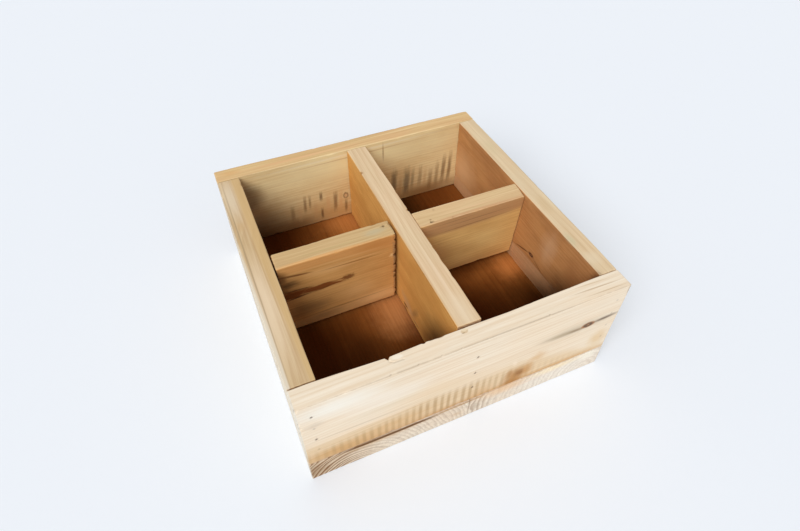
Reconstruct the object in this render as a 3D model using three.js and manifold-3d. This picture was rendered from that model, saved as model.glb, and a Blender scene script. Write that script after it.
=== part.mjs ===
// A four-compartment seed tray of reclaimed boards, butt jointed and nailed.
// Millimetres, +Z up. The origin is the middle of the underside, +X runs along the front board
// and +Y points from the front board to the back board.
import * as THREE from "three";
import { mergeVertices } from "three/addons/utils/BufferGeometryUtils.js";
import Module from "manifold-3d";

const wasm = await Module();
wasm.setup();

// Outer plan of the tray
const trayWidth = 250;
const trayDepth = 250;

// Base boards, two side by side, from front to back
const baseThickness = 23;

// Wall boards, on edge on the base
const wallHeight = 77;
const frontThickness = 16;
const backThickness = 15.5;
const leftThickness = 19;
const rightThickness = 15.5;

// Dividers
const longDividerThickness = 18.5;
const longDividerOffset = 2;
const leftCrossThickness = 17.5;
const leftCrossOffset = -1;
const leftCrossOuterGap = 0.8;
const leftCrossInnerGap = 1.8;
const leftCrossFloorGap = 2;
const rightCrossThickness = 17;
const rightCrossOffset = -1.5;
const rightCrossFloorGap = 6;
const rightCrossLean = THREE.MathUtils.degToRad(4.2);

// Joints and worn edges
const jointGap = 0.3;
const arrisRadius = 1.2;
const arrisSteps = 2;

// Chip out of the inner top edge of the front board
const chipOffset = -57;
const chipWidth = 9;
const chipDepth = 4.5;
const chipHeight = 7;
const chipTipShift = -2;

// Nails
const nailLength = 42;
const nailShankDiameter = 1.8;
const nailHeadDiameter = 3;
const nailHeadThickness = 0.8;
const nailPointLength = 3;
const nailSink = 0.7;
const nailClearance = 0.3;
const nailWell = 6;
const nailSides = 8;

// Nail patterns
const cornerNailCount = 4;
const dividerNailCount = 3;
const crossNailCount = 3;
const nailTopInset = 14;
const dividerNailTopInset = 19;
const nailBottomInset = 18;
const baseWallNailCount = 4;
const baseWallNailInset = 35;
const baseWallNailStagger = 4;
const baseEndNailCount = 2;
const baseEndNailSpacing = 60;
const baseDividerNailCount = 2;
const baseDividerNailInset = 80;
const toeNailLength = 36;
const toeNailAngle = THREE.MathUtils.degToRad(35);
const toeNailAside = 3.5;
const leftToeInset = 6;
const rightToeInset = 11;

// Colours of the boards and nails in daylight
const frontColor = 0xe6cfab;
const backColor = 0xdcbd8e;
const leftColor = 0xdfc49b;
const rightColor = 0xd9b685;
const dividerColor = 0xdab987;
const baseColor = 0xb98d5c;
const nailColor = 0x5a4d42;

// Planes that neighbouring pieces share
const floorZ = baseThickness;
const wallBottomZ = floorZ + jointGap;
const rimZ = wallBottomZ + wallHeight;
const wallMiddleZ = (wallBottomZ + rimZ) / 2;
const leftFaceX = -trayWidth / 2;
const rightFaceX = trayWidth / 2;
const frontFaceY = -trayDepth / 2;
const backFaceY = trayDepth / 2;
const leftInnerX = leftFaceX + leftThickness;
const rightInnerX = rightFaceX - rightThickness;
const frontInnerY = frontFaceY + frontThickness;
const backInnerY = backFaceY - backThickness;
const longDividerLeftX = longDividerOffset - longDividerThickness / 2;
const longDividerRightX = longDividerOffset + longDividerThickness / 2;

// Middle lines of the wall boards, which nails from below and from the ends aim at
const leftWallX = (leftFaceX + leftInnerX) / 2;
const rightWallX = (rightInnerX + rightFaceX) / 2;
const frontWallY = (frontFaceY + frontInnerY) / 2;
const backWallY = (backInnerY + backFaceY) / 2;

const weldTolerance = 1e-4;
const xAxis = new THREE.Vector3(1, 0, 0);
const yAxis = new THREE.Vector3(0, 1, 0);
const zAxis = new THREE.Vector3(0, 0, 1);
const quarterTurn = Math.PI / 2;

const tray = new THREE.Group();
const baseGroup = new THREE.Group();
const wallGroup = new THREE.Group();
const dividerGroup = new THREE.Group();
const nailGroup = new THREE.Group();
tray.add(baseGroup, wallGroup, dividerGroup, nailGroup);

const boards = [];
const nails = [];

function wood(color) {
  return new THREE.MeshStandardMaterial({ color, roughness: 0.75, metalness: 0 });
}

function nailSteel() {
  return new THREE.MeshStandardMaterial({ color: nailColor, roughness: 0.55, metalness: 0.8 });
}

// Geometry with shared vertices and no triangle that has shrunk to a line
function welded(geometry) {
  const bare = geometry.clone();
  bare.deleteAttribute("normal");
  bare.deleteAttribute("uv");
  const merged = mergeVertices(bare, weldTolerance);
  const corners = merged.index.array;
  const kept = [];
  for (let start = 0; start < corners.length; start += 3) {
    const [a, b, c] = corners.subarray(start, start + 3);
    if (a !== b && b !== c && c !== a) {
      kept.push(a, b, c);
    }
  }
  merged.setIndex(kept);
  return merged;
}

function solidFrom(geometry) {
  const closed = welded(geometry);
  const vertProperties = new Float32Array(closed.attributes.position.array);
  const triVerts = new Uint32Array(closed.index.array);
  return new wasm.Manifold(new wasm.Mesh({ numProp: 3, vertProperties, triVerts }));
}

function geometryFrom(solid) {
  const { vertProperties, triVerts } = solid.getMesh();
  const geometry = new THREE.BufferGeometry();
  geometry.setAttribute("position", new THREE.BufferAttribute(vertProperties, 3));
  geometry.setIndex(new THREE.BufferAttribute(triVerts, 1));
  geometry.computeVertexNormals();
  return geometry;
}

// A board with rounded long edges, centred: length along X, thickness along Y, width along Z
function boardGeometry(length, thickness, width) {
  const arcX = thickness / 2 - arrisRadius;
  const arcY = width / 2 - arrisRadius;
  const section = new THREE.Shape();
  section.absarc(arcX, arcY, arrisRadius, 0, quarterTurn);
  section.absarc(-arcX, arcY, arrisRadius, quarterTurn, 2 * quarterTurn);
  section.absarc(-arcX, -arcY, arrisRadius, 2 * quarterTurn, 3 * quarterTurn);
  section.absarc(arcX, -arcY, arrisRadius, 3 * quarterTurn, 4 * quarterTurn);
  const geometry = new THREE.ExtrudeGeometry(section, {
    depth: length,
    curveSegments: arrisSteps,
    bevelEnabled: false,
  });
  geometry.translate(0, 0, -length / 2);
  geometry.applyMatrix4(new THREE.Matrix4().makeBasis(yAxis, zAxis, xAxis));
  return geometry;
}

function addBoard(parent, name, size, centre, color) {
  const geometry = boardGeometry(size.length, size.thickness, size.width);
  const mesh = new THREE.Mesh(geometry, wood(color));
  mesh.name = name;
  mesh.position.copy(centre);
  parent.add(mesh);
  boards.push(mesh);
  return mesh;
}

// A nail from its head at the origin to its point down the Y axis. A clearance above zero makes
// the hole that the nail is driven into, with a well that reaches out past the board's face.
function nailGeometry(length, clearance) {
  const headRadius = nailHeadDiameter / 2 + clearance;
  const shankRadius = nailShankDiameter / 2 + clearance;
  const topY = clearance > 0 ? nailWell : 0;
  const headBottomY = -nailHeadThickness - clearance;
  const pointY = -length - clearance;
  const profile = [
    new THREE.Vector2(0, pointY),
    new THREE.Vector2(shankRadius, nailPointLength - length),
    new THREE.Vector2(shankRadius, headBottomY),
    new THREE.Vector2(headRadius, headBottomY),
    new THREE.Vector2(headRadius, topY),
    new THREE.Vector2(0, topY),
  ];
  return new THREE.LatheGeometry(profile, nailSides);
}

// Places a nail whose head is sunk below the entry point, in the parent's own frame
function driveNail(parent, name, entry, direction, length = nailLength, sink = nailSink) {
  const mesh = new THREE.Mesh(welded(nailGeometry(length, 0)), nailSteel());
  mesh.geometry.computeVertexNormals();
  mesh.name = name;
  mesh.position.copy(entry).addScaledVector(direction, sink);
  mesh.quaternion.setFromUnitVectors(new THREE.Vector3(0, -1, 0), direction);
  parent.add(mesh);
  nails.push({ mesh, length });
}

// Places on a line, evenly spread from the first to the last
function spread(count, first, last) {
  return Array.from({ length: count }, (_, index) => first + ((last - first) * index) / (count - 1));
}

// Heights from low to high, the first and last at the given insets from the wall's edges
function nailHeights(count, topInset) {
  return spread(count, wallBottomZ + nailBottomInset, rimZ - topInset);
}

// Places from front to back, the first and last at the same inset from the tray's faces
function nailDepths(count, inset) {
  return spread(count, frontFaceY + inset, backFaceY - inset);
}

// Places on a line, evenly spaced about its middle
function spaced(count, spacing) {
  return Array.from({ length: count }, (_, index) => (index - (count - 1) / 2) * spacing);
}

// Base boards lie flat, with their length along Y, and meet under the middle of the long divider
const baseBoards = [
  {
    side: "left",
    outerX: leftFaceX,
    innerX: longDividerOffset - jointGap / 2,
    wallNailX: leftWallX - baseWallNailStagger,
    dividerFaceX: longDividerLeftX,
  },
  {
    side: "right",
    outerX: rightFaceX,
    innerX: longDividerOffset + jointGap / 2,
    wallNailX: rightWallX + baseWallNailStagger,
    dividerFaceX: longDividerRightX,
  },
];
for (const { side, outerX, innerX } of baseBoards) {
  const size = { length: trayDepth, thickness: baseThickness, width: Math.abs(outerX - innerX) };
  const centre = new THREE.Vector3((outerX + innerX) / 2, 0, baseThickness / 2);
  const mesh = addBoard(baseGroup, `base_board_${side}`, size, centre, baseColor);
  mesh.rotation.set(quarterTurn, 0, quarterTurn, "ZYX");
}

// Front and back boards run the full width
addBoard(
  wallGroup,
  "front_board",
  { length: trayWidth, thickness: frontThickness, width: wallHeight },
  new THREE.Vector3(0, frontWallY, wallMiddleZ),
  frontColor,
);
addBoard(
  wallGroup,
  "back_board",
  { length: trayWidth, thickness: backThickness, width: wallHeight },
  new THREE.Vector3(0, backWallY, wallMiddleZ),
  backColor,
);

// Side walls and the long divider butt between the front and back boards
const betweenLength = backInnerY - frontInnerY - 2 * jointGap;
const betweenY = (frontInnerY + backInnerY) / 2;
const betweenBoards = [
  [wallGroup, "left_board", leftThickness, leftWallX, leftColor],
  [wallGroup, "right_board", rightThickness, rightWallX, rightColor],
  [dividerGroup, "long_divider", longDividerThickness, longDividerOffset, dividerColor],
];
for (const [parent, name, thickness, x, color] of betweenBoards) {
  const size = { length: betweenLength, thickness, width: wallHeight };
  const mesh = addBoard(parent, name, size, new THREE.Vector3(x, betweenY, wallMiddleZ), color);
  mesh.rotation.z = quarterTurn;
}

// Left cross divider, cut short, so a ragged gap shows at its inner end
const leftCrossStartX = leftInnerX + leftCrossOuterGap;
const leftCrossEndX = longDividerLeftX - leftCrossInnerGap;
const leftCrossWidth = rimZ - floorZ - leftCrossFloorGap;
addBoard(
  dividerGroup,
  "left_cross_divider",
  { length: leftCrossEndX - leftCrossStartX, thickness: leftCrossThickness, width: leftCrossWidth },
  new THREE.Vector3((leftCrossStartX + leftCrossEndX) / 2, leftCrossOffset, rimZ - leftCrossWidth / 2),
  dividerColor,
);

// Right cross divider, narrower, leaning about its top back edge so that its foot lies further back
const rightCrossStartX = longDividerRightX + jointGap;
const rightCrossEndX = rightInnerX - jointGap;
const rightCrossRise = rightCrossThickness * Math.sin(rightCrossLean);
const rightCrossWidth = (rimZ - floorZ - rightCrossFloorGap - rightCrossRise) / Math.cos(rightCrossLean);
const leaningGroup = new THREE.Group();
leaningGroup.position.set(0, rightCrossOffset + rightCrossThickness / 2, rimZ);
leaningGroup.rotation.x = rightCrossLean;
dividerGroup.add(leaningGroup);
addBoard(
  leaningGroup,
  "right_cross_divider",
  { length: rightCrossEndX - rightCrossStartX, thickness: rightCrossThickness, width: rightCrossWidth },
  new THREE.Vector3((rightCrossStartX + rightCrossEndX) / 2, -rightCrossThickness / 2, -rightCrossWidth / 2),
  dividerColor,
);

// Nails through the front and back boards into the ends of the walls and the long divider
const inward = { front: yAxis.clone(), back: yAxis.clone().negate() };
const outerY = { front: frontFaceY, back: backFaceY };
const endJoints = [
  ["left", leftWallX, cornerNailCount, nailTopInset],
  ["divider", longDividerOffset, dividerNailCount, dividerNailTopInset],
  ["right", rightWallX, cornerNailCount, nailTopInset],
];
for (const side of ["front", "back"]) {
  for (const [joint, x, count, topInset] of endJoints) {
    nailHeights(count, topInset).forEach((z, index) => {
      const entry = new THREE.Vector3(x, outerY[side], z);
      driveNail(nailGroup, `${side}_${joint}_nail_${index + 1}`, entry, inward[side]);
    });
  }
}

// Nails through the side walls into the outer ends of the cross dividers
nailHeights(crossNailCount, dividerNailTopInset).forEach((z, index) => {
  const leftEntry = new THREE.Vector3(leftFaceX, leftCrossOffset, z);
  driveNail(nailGroup, `left_cross_nail_${index + 1}`, leftEntry, xAxis);
  const rightEntry = new THREE.Vector3(rightFaceX, -rightCrossThickness / 2, z - rimZ);
  driveNail(leaningGroup, `right_cross_nail_${index + 1}`, rightEntry, xAxis.clone().negate());
});

// One slanted nail through the top of each cross divider into the long divider. Its tilted head
// is driven deep enough to lie wholly under the face.
const toeNailSink = nailSink + (nailHeadDiameter / 2) * Math.tan(toeNailAngle);
const slantToRight = new THREE.Vector3(Math.sin(toeNailAngle), 0, -Math.cos(toeNailAngle));
const slantToLeft = new THREE.Vector3(-Math.sin(toeNailAngle), 0, -Math.cos(toeNailAngle));
const leftToeEntry = new THREE.Vector3(leftCrossEndX - leftToeInset, leftCrossOffset + toeNailAside, rimZ);
const rightToeEntry = new THREE.Vector3(
  rightCrossStartX + rightToeInset,
  -rightCrossThickness / 2 - toeNailAside,
  0,
);
driveNail(nailGroup, "left_toe_nail", leftToeEntry, slantToRight, toeNailLength, toeNailSink);
driveNail(leaningGroup, "right_toe_nail", rightToeEntry, slantToLeft, toeNailLength, toeNailSink);

// Nails from below through each base board: into its side wall, beside the line that the wall's end
// nails follow, into the front and back boards, and into the half of the long divider over it
for (const { side, outerX, innerX, wallNailX, dividerFaceX } of baseBoards) {
  nailDepths(baseWallNailCount, baseWallNailInset).forEach((y, index) => {
    const entry = new THREE.Vector3(wallNailX, y, 0);
    driveNail(nailGroup, `base_${side}_wall_nail_${index + 1}`, entry, zAxis);
  });
  nailDepths(baseDividerNailCount, baseDividerNailInset).forEach((y, index) => {
    const entry = new THREE.Vector3((innerX + dividerFaceX) / 2, y, 0);
    driveNail(nailGroup, `base_${side}_divider_nail_${index + 1}`, entry, zAxis);
  });
  for (const [end, y] of [["front", frontWallY], ["back", backWallY]]) {
    spaced(baseEndNailCount, baseEndNailSpacing).forEach((shift, index) => {
      const entry = new THREE.Vector3((outerX + innerX) / 2 + shift, y, 0);
      driveNail(nailGroup, `base_${side}_${end}_nail_${index + 1}`, entry, zAxis);
    });
  }
}

// The chip: a wedge with a triangular plan, from above the rim down into the board's inner edge
function chipSolid() {
  const outline = new THREE.Shape();
  outline.moveTo(-chipWidth / 2, chipDepth);
  outline.lineTo(-chipWidth / 2, 0);
  outline.lineTo(chipTipShift, -chipDepth);
  outline.lineTo(chipWidth / 2, 0);
  outline.lineTo(chipWidth / 2, chipDepth);
  const geometry = new THREE.ExtrudeGeometry(outline, { depth: 2 * chipHeight, bevelEnabled: false });
  geometry.translate(chipOffset, frontInnerY, rimZ - chipHeight);
  return geometry;
}

// Cuts a geometry that is given in the tray's frame out of a board
function cut(board, solid, geometry, matrix) {
  const local = geometry.clone();
  local.applyMatrix4(board.matrixWorld.clone().invert().multiply(matrix));
  return solid.subtract(solidFrom(local));
}

// Every board gives way to every nail that reaches it, and the front board to its chip
tray.updateMatrixWorld(true);
for (const board of boards) {
  let solid = solidFrom(board.geometry);
  for (const { mesh, length } of nails) {
    solid = cut(board, solid, nailGeometry(length, nailClearance), mesh.matrixWorld);
  }
  if (board.name === "front_board") {
    solid = cut(board, solid, chipSolid(), new THREE.Matrix4());
  }
  board.geometry = geometryFrom(solid);
}

export default tray;
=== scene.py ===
"""Looks of a four-compartment seed tray of reclaimed boards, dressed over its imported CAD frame.

Each board is a dense rounded box whose faces, edges and nail pits are worn by formula. Nails are turned
profiles. All wood finishes share a few node groups, which read Object coordinates and the boards' own
attributes. Everything is in metres, in the frame of the CAD part; finishes work in millimetres.
"""
import math

import bpy
import numpy as np
from mathutils import Matrix, Vector


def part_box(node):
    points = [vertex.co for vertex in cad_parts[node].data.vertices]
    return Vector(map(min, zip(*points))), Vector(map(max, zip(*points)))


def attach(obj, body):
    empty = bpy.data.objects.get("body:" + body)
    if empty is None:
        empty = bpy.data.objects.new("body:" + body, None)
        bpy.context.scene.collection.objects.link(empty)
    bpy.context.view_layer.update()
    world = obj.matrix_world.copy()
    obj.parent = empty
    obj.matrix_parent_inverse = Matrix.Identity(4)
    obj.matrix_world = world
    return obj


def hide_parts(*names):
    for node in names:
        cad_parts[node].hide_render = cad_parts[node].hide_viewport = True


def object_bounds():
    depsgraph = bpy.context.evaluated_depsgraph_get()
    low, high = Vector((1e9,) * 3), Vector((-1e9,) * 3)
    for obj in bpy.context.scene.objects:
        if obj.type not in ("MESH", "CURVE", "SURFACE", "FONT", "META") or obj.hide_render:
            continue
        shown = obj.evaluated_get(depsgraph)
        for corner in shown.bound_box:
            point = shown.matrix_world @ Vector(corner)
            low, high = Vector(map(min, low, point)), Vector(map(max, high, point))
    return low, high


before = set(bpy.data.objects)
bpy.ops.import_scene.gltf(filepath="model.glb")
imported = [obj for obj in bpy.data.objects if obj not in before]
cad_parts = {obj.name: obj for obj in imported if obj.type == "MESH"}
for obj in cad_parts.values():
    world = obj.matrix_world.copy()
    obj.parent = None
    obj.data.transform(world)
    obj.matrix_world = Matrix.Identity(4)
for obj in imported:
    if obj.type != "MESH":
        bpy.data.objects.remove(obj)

cad_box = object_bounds()

MM = 0.001
BODY = "root"
X, Y, Z = range(3)

# Faces that finishes are laid on, in millimetres
LOW = 0
HIGH = 1


def face_at(node, end, axis):
    """Place of a board's lowest or highest face along an axis, in millimetres."""
    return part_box(node)[end][axis] / MM


RIM = face_at("front_board", HIGH, Z)
FRONT = face_at("front_board", LOW, Y)
BACK = face_at("back_board", HIGH, Y)
BACK_IN = face_at("back_board", LOW, Y)
LEFT = face_at("left_board", LOW, X)
RIGHT = face_at("right_board", HIGH, X)
RIGHT_IN = face_at("right_board", LOW, X)
LONG_LEFT = face_at("long_divider", LOW, X)
LONG_RIGHT = face_at("long_divider", HIGH, X)
CROSS_FRONT = face_at("left_cross_divider", LOW, Y)
FLOOR = face_at("base_board_left", HIGH, Z)

# Camera, solved from the corners of the rim and the base in the 800 x 531 frame
CAMERA_PLACE = (-0.1297, -0.2897, 0.3935)
CAMERA_YAW = math.radians(23.9)
CAMERA_PITCH = math.radians(47.25)
CAMERA_ROLL = math.radians(0.31)
FOCAL_PIXELS = 541.5
IMAGE_WIDTH = 800
SENSOR_WIDTH = 36.0
NEAR_CLIP = 0.01

# Light: a pale room and one broad soft light from the front left
ROOM_STRENGTH = 0.53
BACKDROP_STRENGTH = 0.9
SOFT_LIGHT_FROM = (-0.52, -0.48, 0.71)
SOFT_LIGHT_STRENGTH = 2.2
SOFT_LIGHT_ANGLE = math.radians(42)
FLOOR_SIZE = 12.0
FLOOR_GAP = 0.2 * MM
FLOOR_ROUGH = 0.9
FLOOR_SHINE = 0.1
ROOM_TINT = (0.97, 0.985, 1.0, 1.0)

# Board edges: mean radius, its slow swing, how deep and how rare the random nicks are, and grid lines
ARRIS = 0.8 * MM
ARRIS_SWING = 0.4 * MM
ARRIS_SWING_LENGTH = 60 * MM
ARRIS_LIMITS = (0.3 * MM, 3.2 * MM)
ARRIS_REACH = 1.1 * MM
NICK_DEPTH = 1.1 * MM
NICK_LENGTH = 11 * MM
NICK_RARITY = 0.85
RAGGED_LENGTH = 4 * MM
RAGGED_REACH = 5 * MM
RAGGED_STEP = 0.8 * MM
FOOT_UNWORN = 8 * MM
EDGE_LINES = (0.12, 0.28, 0.5, 0.8, 1.2, 1.7, 2.4)
FACE_STEP = 2.4 * MM
SAWN_STEP = 1.3 * MM
LINE_GAP = 0.3 * MM
EDGE_LINE_GAP = 0.06 * MM
WELD = 1e-7

# Listed nicks: grid lines per radius and their reach in radii, how dark and how shallow nicks are, and
# the half size below which a side of a board is thin
NICK_LINES = 3
NICK_REACH = 1.2
NICK_DARK = 0.5
NICK_SLOPE = 1.5
THIN_HALF = 20 * MM

# Board faces
FACE_UNEVEN = 0.16 * MM
FACE_UNEVEN_LENGTH = 70 * MM
FACE_UNEVEN_MOST = 1.6
SAW_PITCH = 5.6 * MM
SAW_START = 2.5 * MM
SAW_DEPTH = 0.12 * MM
SAWN_HOLLOW = 0.3 * MM

# Steps from a board's own seed to the seeds of its other noises
UNEVEN_SEED = 20
NICK_SEED = 40
RAGGED_SEED = 50

# How squarely a normal has to face outwards to count: none below the first number, all above the second
SAWN_FACING = (0.6, 0.9)
INNER_FACING = (0.35, 0.9)
END_FACING = (0.55, 0.85)
PIT_FACING = (0.4, 0.6)

# The base is bare under the walls; inside them its top takes a darker tone, partly dirt and partly painted
# shade
COVERED = (8 * MM, 13 * MM)

# Nail pits: the wood has closed to a small mouth over each sunk head
PIT_RADIUS = 0.6 * MM
PIT_RIM = 0.35 * MM
PIT_FLOOR = 0.22 * MM
PIT_REACH = 1.05 * MM
PIT_STEP = 0.35 * MM
CLOSED_PIT_DEPTH = 0.15 * MM
CLOSED_PITS = ("front_left_nail_1", "front_left_nail_3", "front_right_nail_1", "front_right_nail_2",
               "front_right_nail_3", "front_right_nail_4")
CLOSED_PIT_DARK = 0.3
PIT_THROUGH = 6 * MM

# A board shows a nail whose head lies in it, give or take the slack, and whose cover reaches out of it
HEAD_SLACK = 0.5 * MM
HEAD_COVER = 2.5 * MM

# An axis that holds less than this of a nail's direction runs across the nail
ACROSS_NAIL = 0.9

# The right cross divider leans by this angle in the CAD part
RIGHT_CROSS_LEAN = math.radians(4.2)


# Shapes

WAVE_SPREAD = (0.6, 1.7)


def sines(points, wavelength, seed, terms=9):
    """Smooth noise of about -1 to 1: a sum of sine waves with seeded directions, lengths and phases."""
    rng = np.random.default_rng(seed)
    directions = rng.normal(size=(terms, 3))
    directions /= np.linalg.norm(directions, axis=1, keepdims=True)
    lengths = wavelength * rng.uniform(*WAVE_SPREAD, terms)
    phases = rng.uniform(0, 2 * math.pi, terms)
    waves = np.sin(2 * math.pi * points @ (directions / lengths[:, None]).T + phases)
    return waves.sum(axis=1) / math.sqrt(terms)


def smooth(value, start, end):
    """Rises from 0 at start to 1 at end along the curve 3t^2 - 2t^3."""
    t = np.clip((value - start) / (end - start), 0, 1)
    return t * t * (3 - 2 * t)


def grid_lines(half, step, fine_spots):
    """Places of grid lines from -half to half: even steps, a closer set beside both ends for the worn
    edges, and a closer set around each fine spot, given as (place, reach, step). A line too close to the
    one before it is left out."""
    edge = np.array(EDGE_LINES) * MM
    places = [np.linspace(-half, half, int(round(2 * half / step)) + 1), edge - half, half - edge]
    for place, reach, fine in fine_spots:
        places.append(place + np.arange(-reach, reach + fine / 2, fine))
    kept = [-half]
    for place in np.unique(np.concatenate(places)):
        to_end = half - abs(place)
        least = EDGE_LINE_GAP if to_end < edge[-1] + EDGE_LINE_GAP else LINE_GAP
        if to_end > EDGE_LINE_GAP and place - kept[-1] > least:
            kept.append(place)
    return np.array(kept + [half])


def box_surface(lines):
    """Six face grids of a box, welded where they meet. A face is every pair of grid lines of two axes,
    with the third axis at its first or last line. Returns points and outward quads."""
    points = []
    quads = []
    count = 0
    for axis in range(3):
        first, second = [other for other in range(3) if other != axis]
        along, across = np.meshgrid(lines[first], lines[second], indexing="ij")
        index = np.arange(along.size).reshape(along.shape)
        corners = np.stack([index[:-1, :-1], index[1:, :-1], index[1:, 1:], index[:-1, 1:]], axis=-1)
        corners = corners.reshape(-1, 4)
        for end in (0, -1):
            face = np.empty((along.size, 3))
            face[:, first] = along.ravel()
            face[:, second] = across.ravel()
            face[:, axis] = lines[axis][end]
            outward = (end == -1) != (axis == 1)
            points.append(face)
            quads.append(count + (corners if outward else corners[:, ::-1]))
            count += along.size
    points = np.concatenate(points)
    quads = np.concatenate(quads)
    keys = np.round(points / WELD).astype(np.int64)
    first_use, place = np.unique(keys, axis=0, return_index=True, return_inverse=True)[1:]
    return points[first_use], place.reshape(-1)[quads]


def round_edges(points, half, radius):
    """Rounded box: each point of the sharp box is drawn to the nearest point of a core box that is smaller
    by the local radius, and set one radius out from it. Returns points and outward normals."""
    limit = half - radius[:, None]
    core = np.clip(points, -limit, limit)
    away = points - core
    normals = away / np.linalg.norm(away, axis=1, keepdims=True)
    return core + normals * radius[:, None], normals


def edge_distance(points, half):
    """Distance from each point of a box's surface to the nearest edge of the box."""
    to_faces = half - np.abs(points)
    return np.sort(to_faces, axis=1)[:, 1]


def outer_distance(points):
    """Distance from each point, level, to the nearest outer side of the tray."""
    low, high = (np.array(corner)[:2] for corner in cad_box)
    return np.minimum(points[:, :2] - low, high - points[:, :2]).min(axis=1)


def mesh_object(name, points, faces, marks):
    """A smooth-shaded object from arrays of points and equal-sided faces, with float point attributes."""
    sides = faces.shape[1]
    mesh = bpy.data.meshes.new(name)
    mesh.vertices.add(len(points))
    mesh.vertices.foreach_set("co", points.astype(np.float32).ravel())
    mesh.loops.add(faces.size)
    mesh.loops.foreach_set("vertex_index", faces.astype(np.int32).ravel())
    mesh.polygons.add(len(faces))
    mesh.polygons.foreach_set("loop_start", np.arange(0, faces.size, sides, dtype=np.int32))
    mesh.polygons.foreach_set("use_smooth", np.ones(len(faces), dtype=bool))
    mesh.update(calc_edges=True)
    for mark, values in marks.items():
        attribute = mesh.attributes.new(mark, "FLOAT", "POINT")
        attribute.data.foreach_set("value", values.astype(np.float32))
    piece = bpy.data.objects.new(name, mesh)
    bpy.context.scene.collection.objects.link(piece)
    return piece


# Nails

NAIL_HEAD_RADIUS = 1.5 * MM
NAIL_SHANK_RADIUS = 0.9 * MM
NAIL_HEAD_THICKNESS = 0.8 * MM
NAIL_POINT_LENGTH = 3 * MM
NAIL_SIDES = 20
NAIL_TOP_SLICE = 0.1 * MM
DENT_DEPTH = 0.05 * MM
DENT_LENGTH = 1.3 * MM
DENT_REACH = 0.3

# A direction that no nail has, from which its round sections start
LIKE_NO_NAIL = (0.31, 0.52, 0.79)


def nail_lie(node):
    """Top middle of a nail's head, the unit vector to its point and its length: the longest direction of
    its CAD solid, from the end where the solid is widest."""
    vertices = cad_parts[node].data.vertices
    coords = np.empty(3 * len(vertices), dtype=np.float32)
    vertices.foreach_get("co", coords)
    coords = coords.astype(float).reshape(-1, 3)
    middle = (coords.min(axis=0) + coords.max(axis=0)) / 2
    axis = np.linalg.svd(coords - coords.mean(axis=0), full_matrices=False)[2][0]
    reach = (coords - middle) @ axis
    spread = np.linalg.norm((coords - middle) - np.outer(reach, axis), axis=1)
    if spread[reach > reach.max() / 2].max() > spread[reach < reach.min() / 2].max():
        axis = -axis
        reach = -reach
    head = coords[reach < reach.min() + NAIL_TOP_SLICE].mean(axis=0)
    return head, axis, np.ptp(reach)


def nail_surface(head, axis, length, seed):
    """Turned profile: head disc with a dished top and rolled rim, shank and point, carried round the nail's
    axis, with one point at each tip. The hammered top is dented by smooth noise. Returns triangles."""
    radius = NAIL_HEAD_RADIUS
    shank = NAIL_SHANK_RADIUS
    thick = NAIL_HEAD_THICKNESS
    profile = np.array([
        (0.0, 0.10 * thick), (0.35 * radius, 0.09 * thick), (0.68 * radius, 0.04 * thick),
        (0.88 * radius, 0.05 * thick), (0.97 * radius, 0.20 * thick), (radius, 0.48 * thick),
        (0.96 * radius, 0.82 * thick), (0.86 * radius, thick), (1.1 * shank, 1.15 * thick),
        (shank, 2.2 * thick), (shank, length - NAIL_POINT_LENGTH), (0.0, length),
    ])
    turn = np.linspace(0, 2 * math.pi, NAIL_SIDES, endpoint=False)
    side = np.cross(axis, LIKE_NO_NAIL)
    side /= np.linalg.norm(side)
    up = np.cross(axis, side)
    ring = np.cos(turn)[:, None] * side + np.sin(turn)[:, None] * up
    rings = profile[1:-1, None, :1] * ring[None] + profile[1:-1, None, 1:] * axis
    points = head + np.concatenate([profile[:1, 1:] * axis, rings.reshape(-1, 3), profile[-1:, 1:] * axis])
    along = (points - head) @ axis
    dents = DENT_DEPTH * np.abs(sines(points, DENT_LENGTH, seed)) * (along < DENT_REACH * thick)
    points = points + dents[:, None] * axis

    around = np.arange(NAIL_SIDES)
    after = np.roll(around, -1)
    starts = 1 + NAIL_SIDES * np.arange(len(profile) - 3)[:, None]
    last = 1 + NAIL_SIDES * (len(profile) - 3)
    near, near_next = starts + around, starts + after
    far, far_next = near + NAIL_SIDES, near_next + NAIL_SIDES
    faces = [
        np.stack([np.zeros_like(around), 1 + after, 1 + around], axis=-1),
        np.stack([near, near_next, far_next], axis=-1).reshape(-1, 3),
        np.stack([near, far_next, far], axis=-1).reshape(-1, 3),
        np.stack([np.full_like(around, last + NAIL_SIDES), last + around, last + after], axis=-1),
    ]
    return points, np.concatenate(faces)


nails = {node: nail_lie(node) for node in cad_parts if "nail" in node}


# Boards

ACROSS = {"front": (0, -1, 0), "back": (0, 1, 0), "left": (-1, 0, 0), "right": (1, 0, 0), "top": (0, 0, 1)}

FRONT_SAWN_X = np.array([-125, -70, -40, 0, 40, 62, 100, 125]) * MM
FRONT_SAWN_TOP = np.array([47, 48.5, 50, 48, 51, 45, 33, 29]) * MM
FRONT_SAWN_FADE = np.array([5, 4, 4, 7, 8, 8, 6, 5]) * MM
FRONT_STRIPE_TOP = np.array([42, 46, 52, 54, 48, 44, 34, 30]) * MM
FRONT_STRIPE_SHARE = np.array([0.45, 0.8, 1.0, 0.95, 0.4, 0.25, 0.15, 0.05])
FRONT_STRIPE_FADE = 12 * MM
FRONT_SAWN_WAVER = 0.8 * MM
FRONT_SAWN_LENGTH = 40 * MM

RIGHT_SAWN_TOP = 42 * MM
RIGHT_SAWN_FALL = 0.035
RIGHT_SAWN_FADE = 1.0 * MM
RIGHT_SAWN_WAVER = 0.8 * MM
RIGHT_SAWN_LENGTH = 50 * MM
RIGHT_STRIPE_SHARE = 0.1

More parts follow.
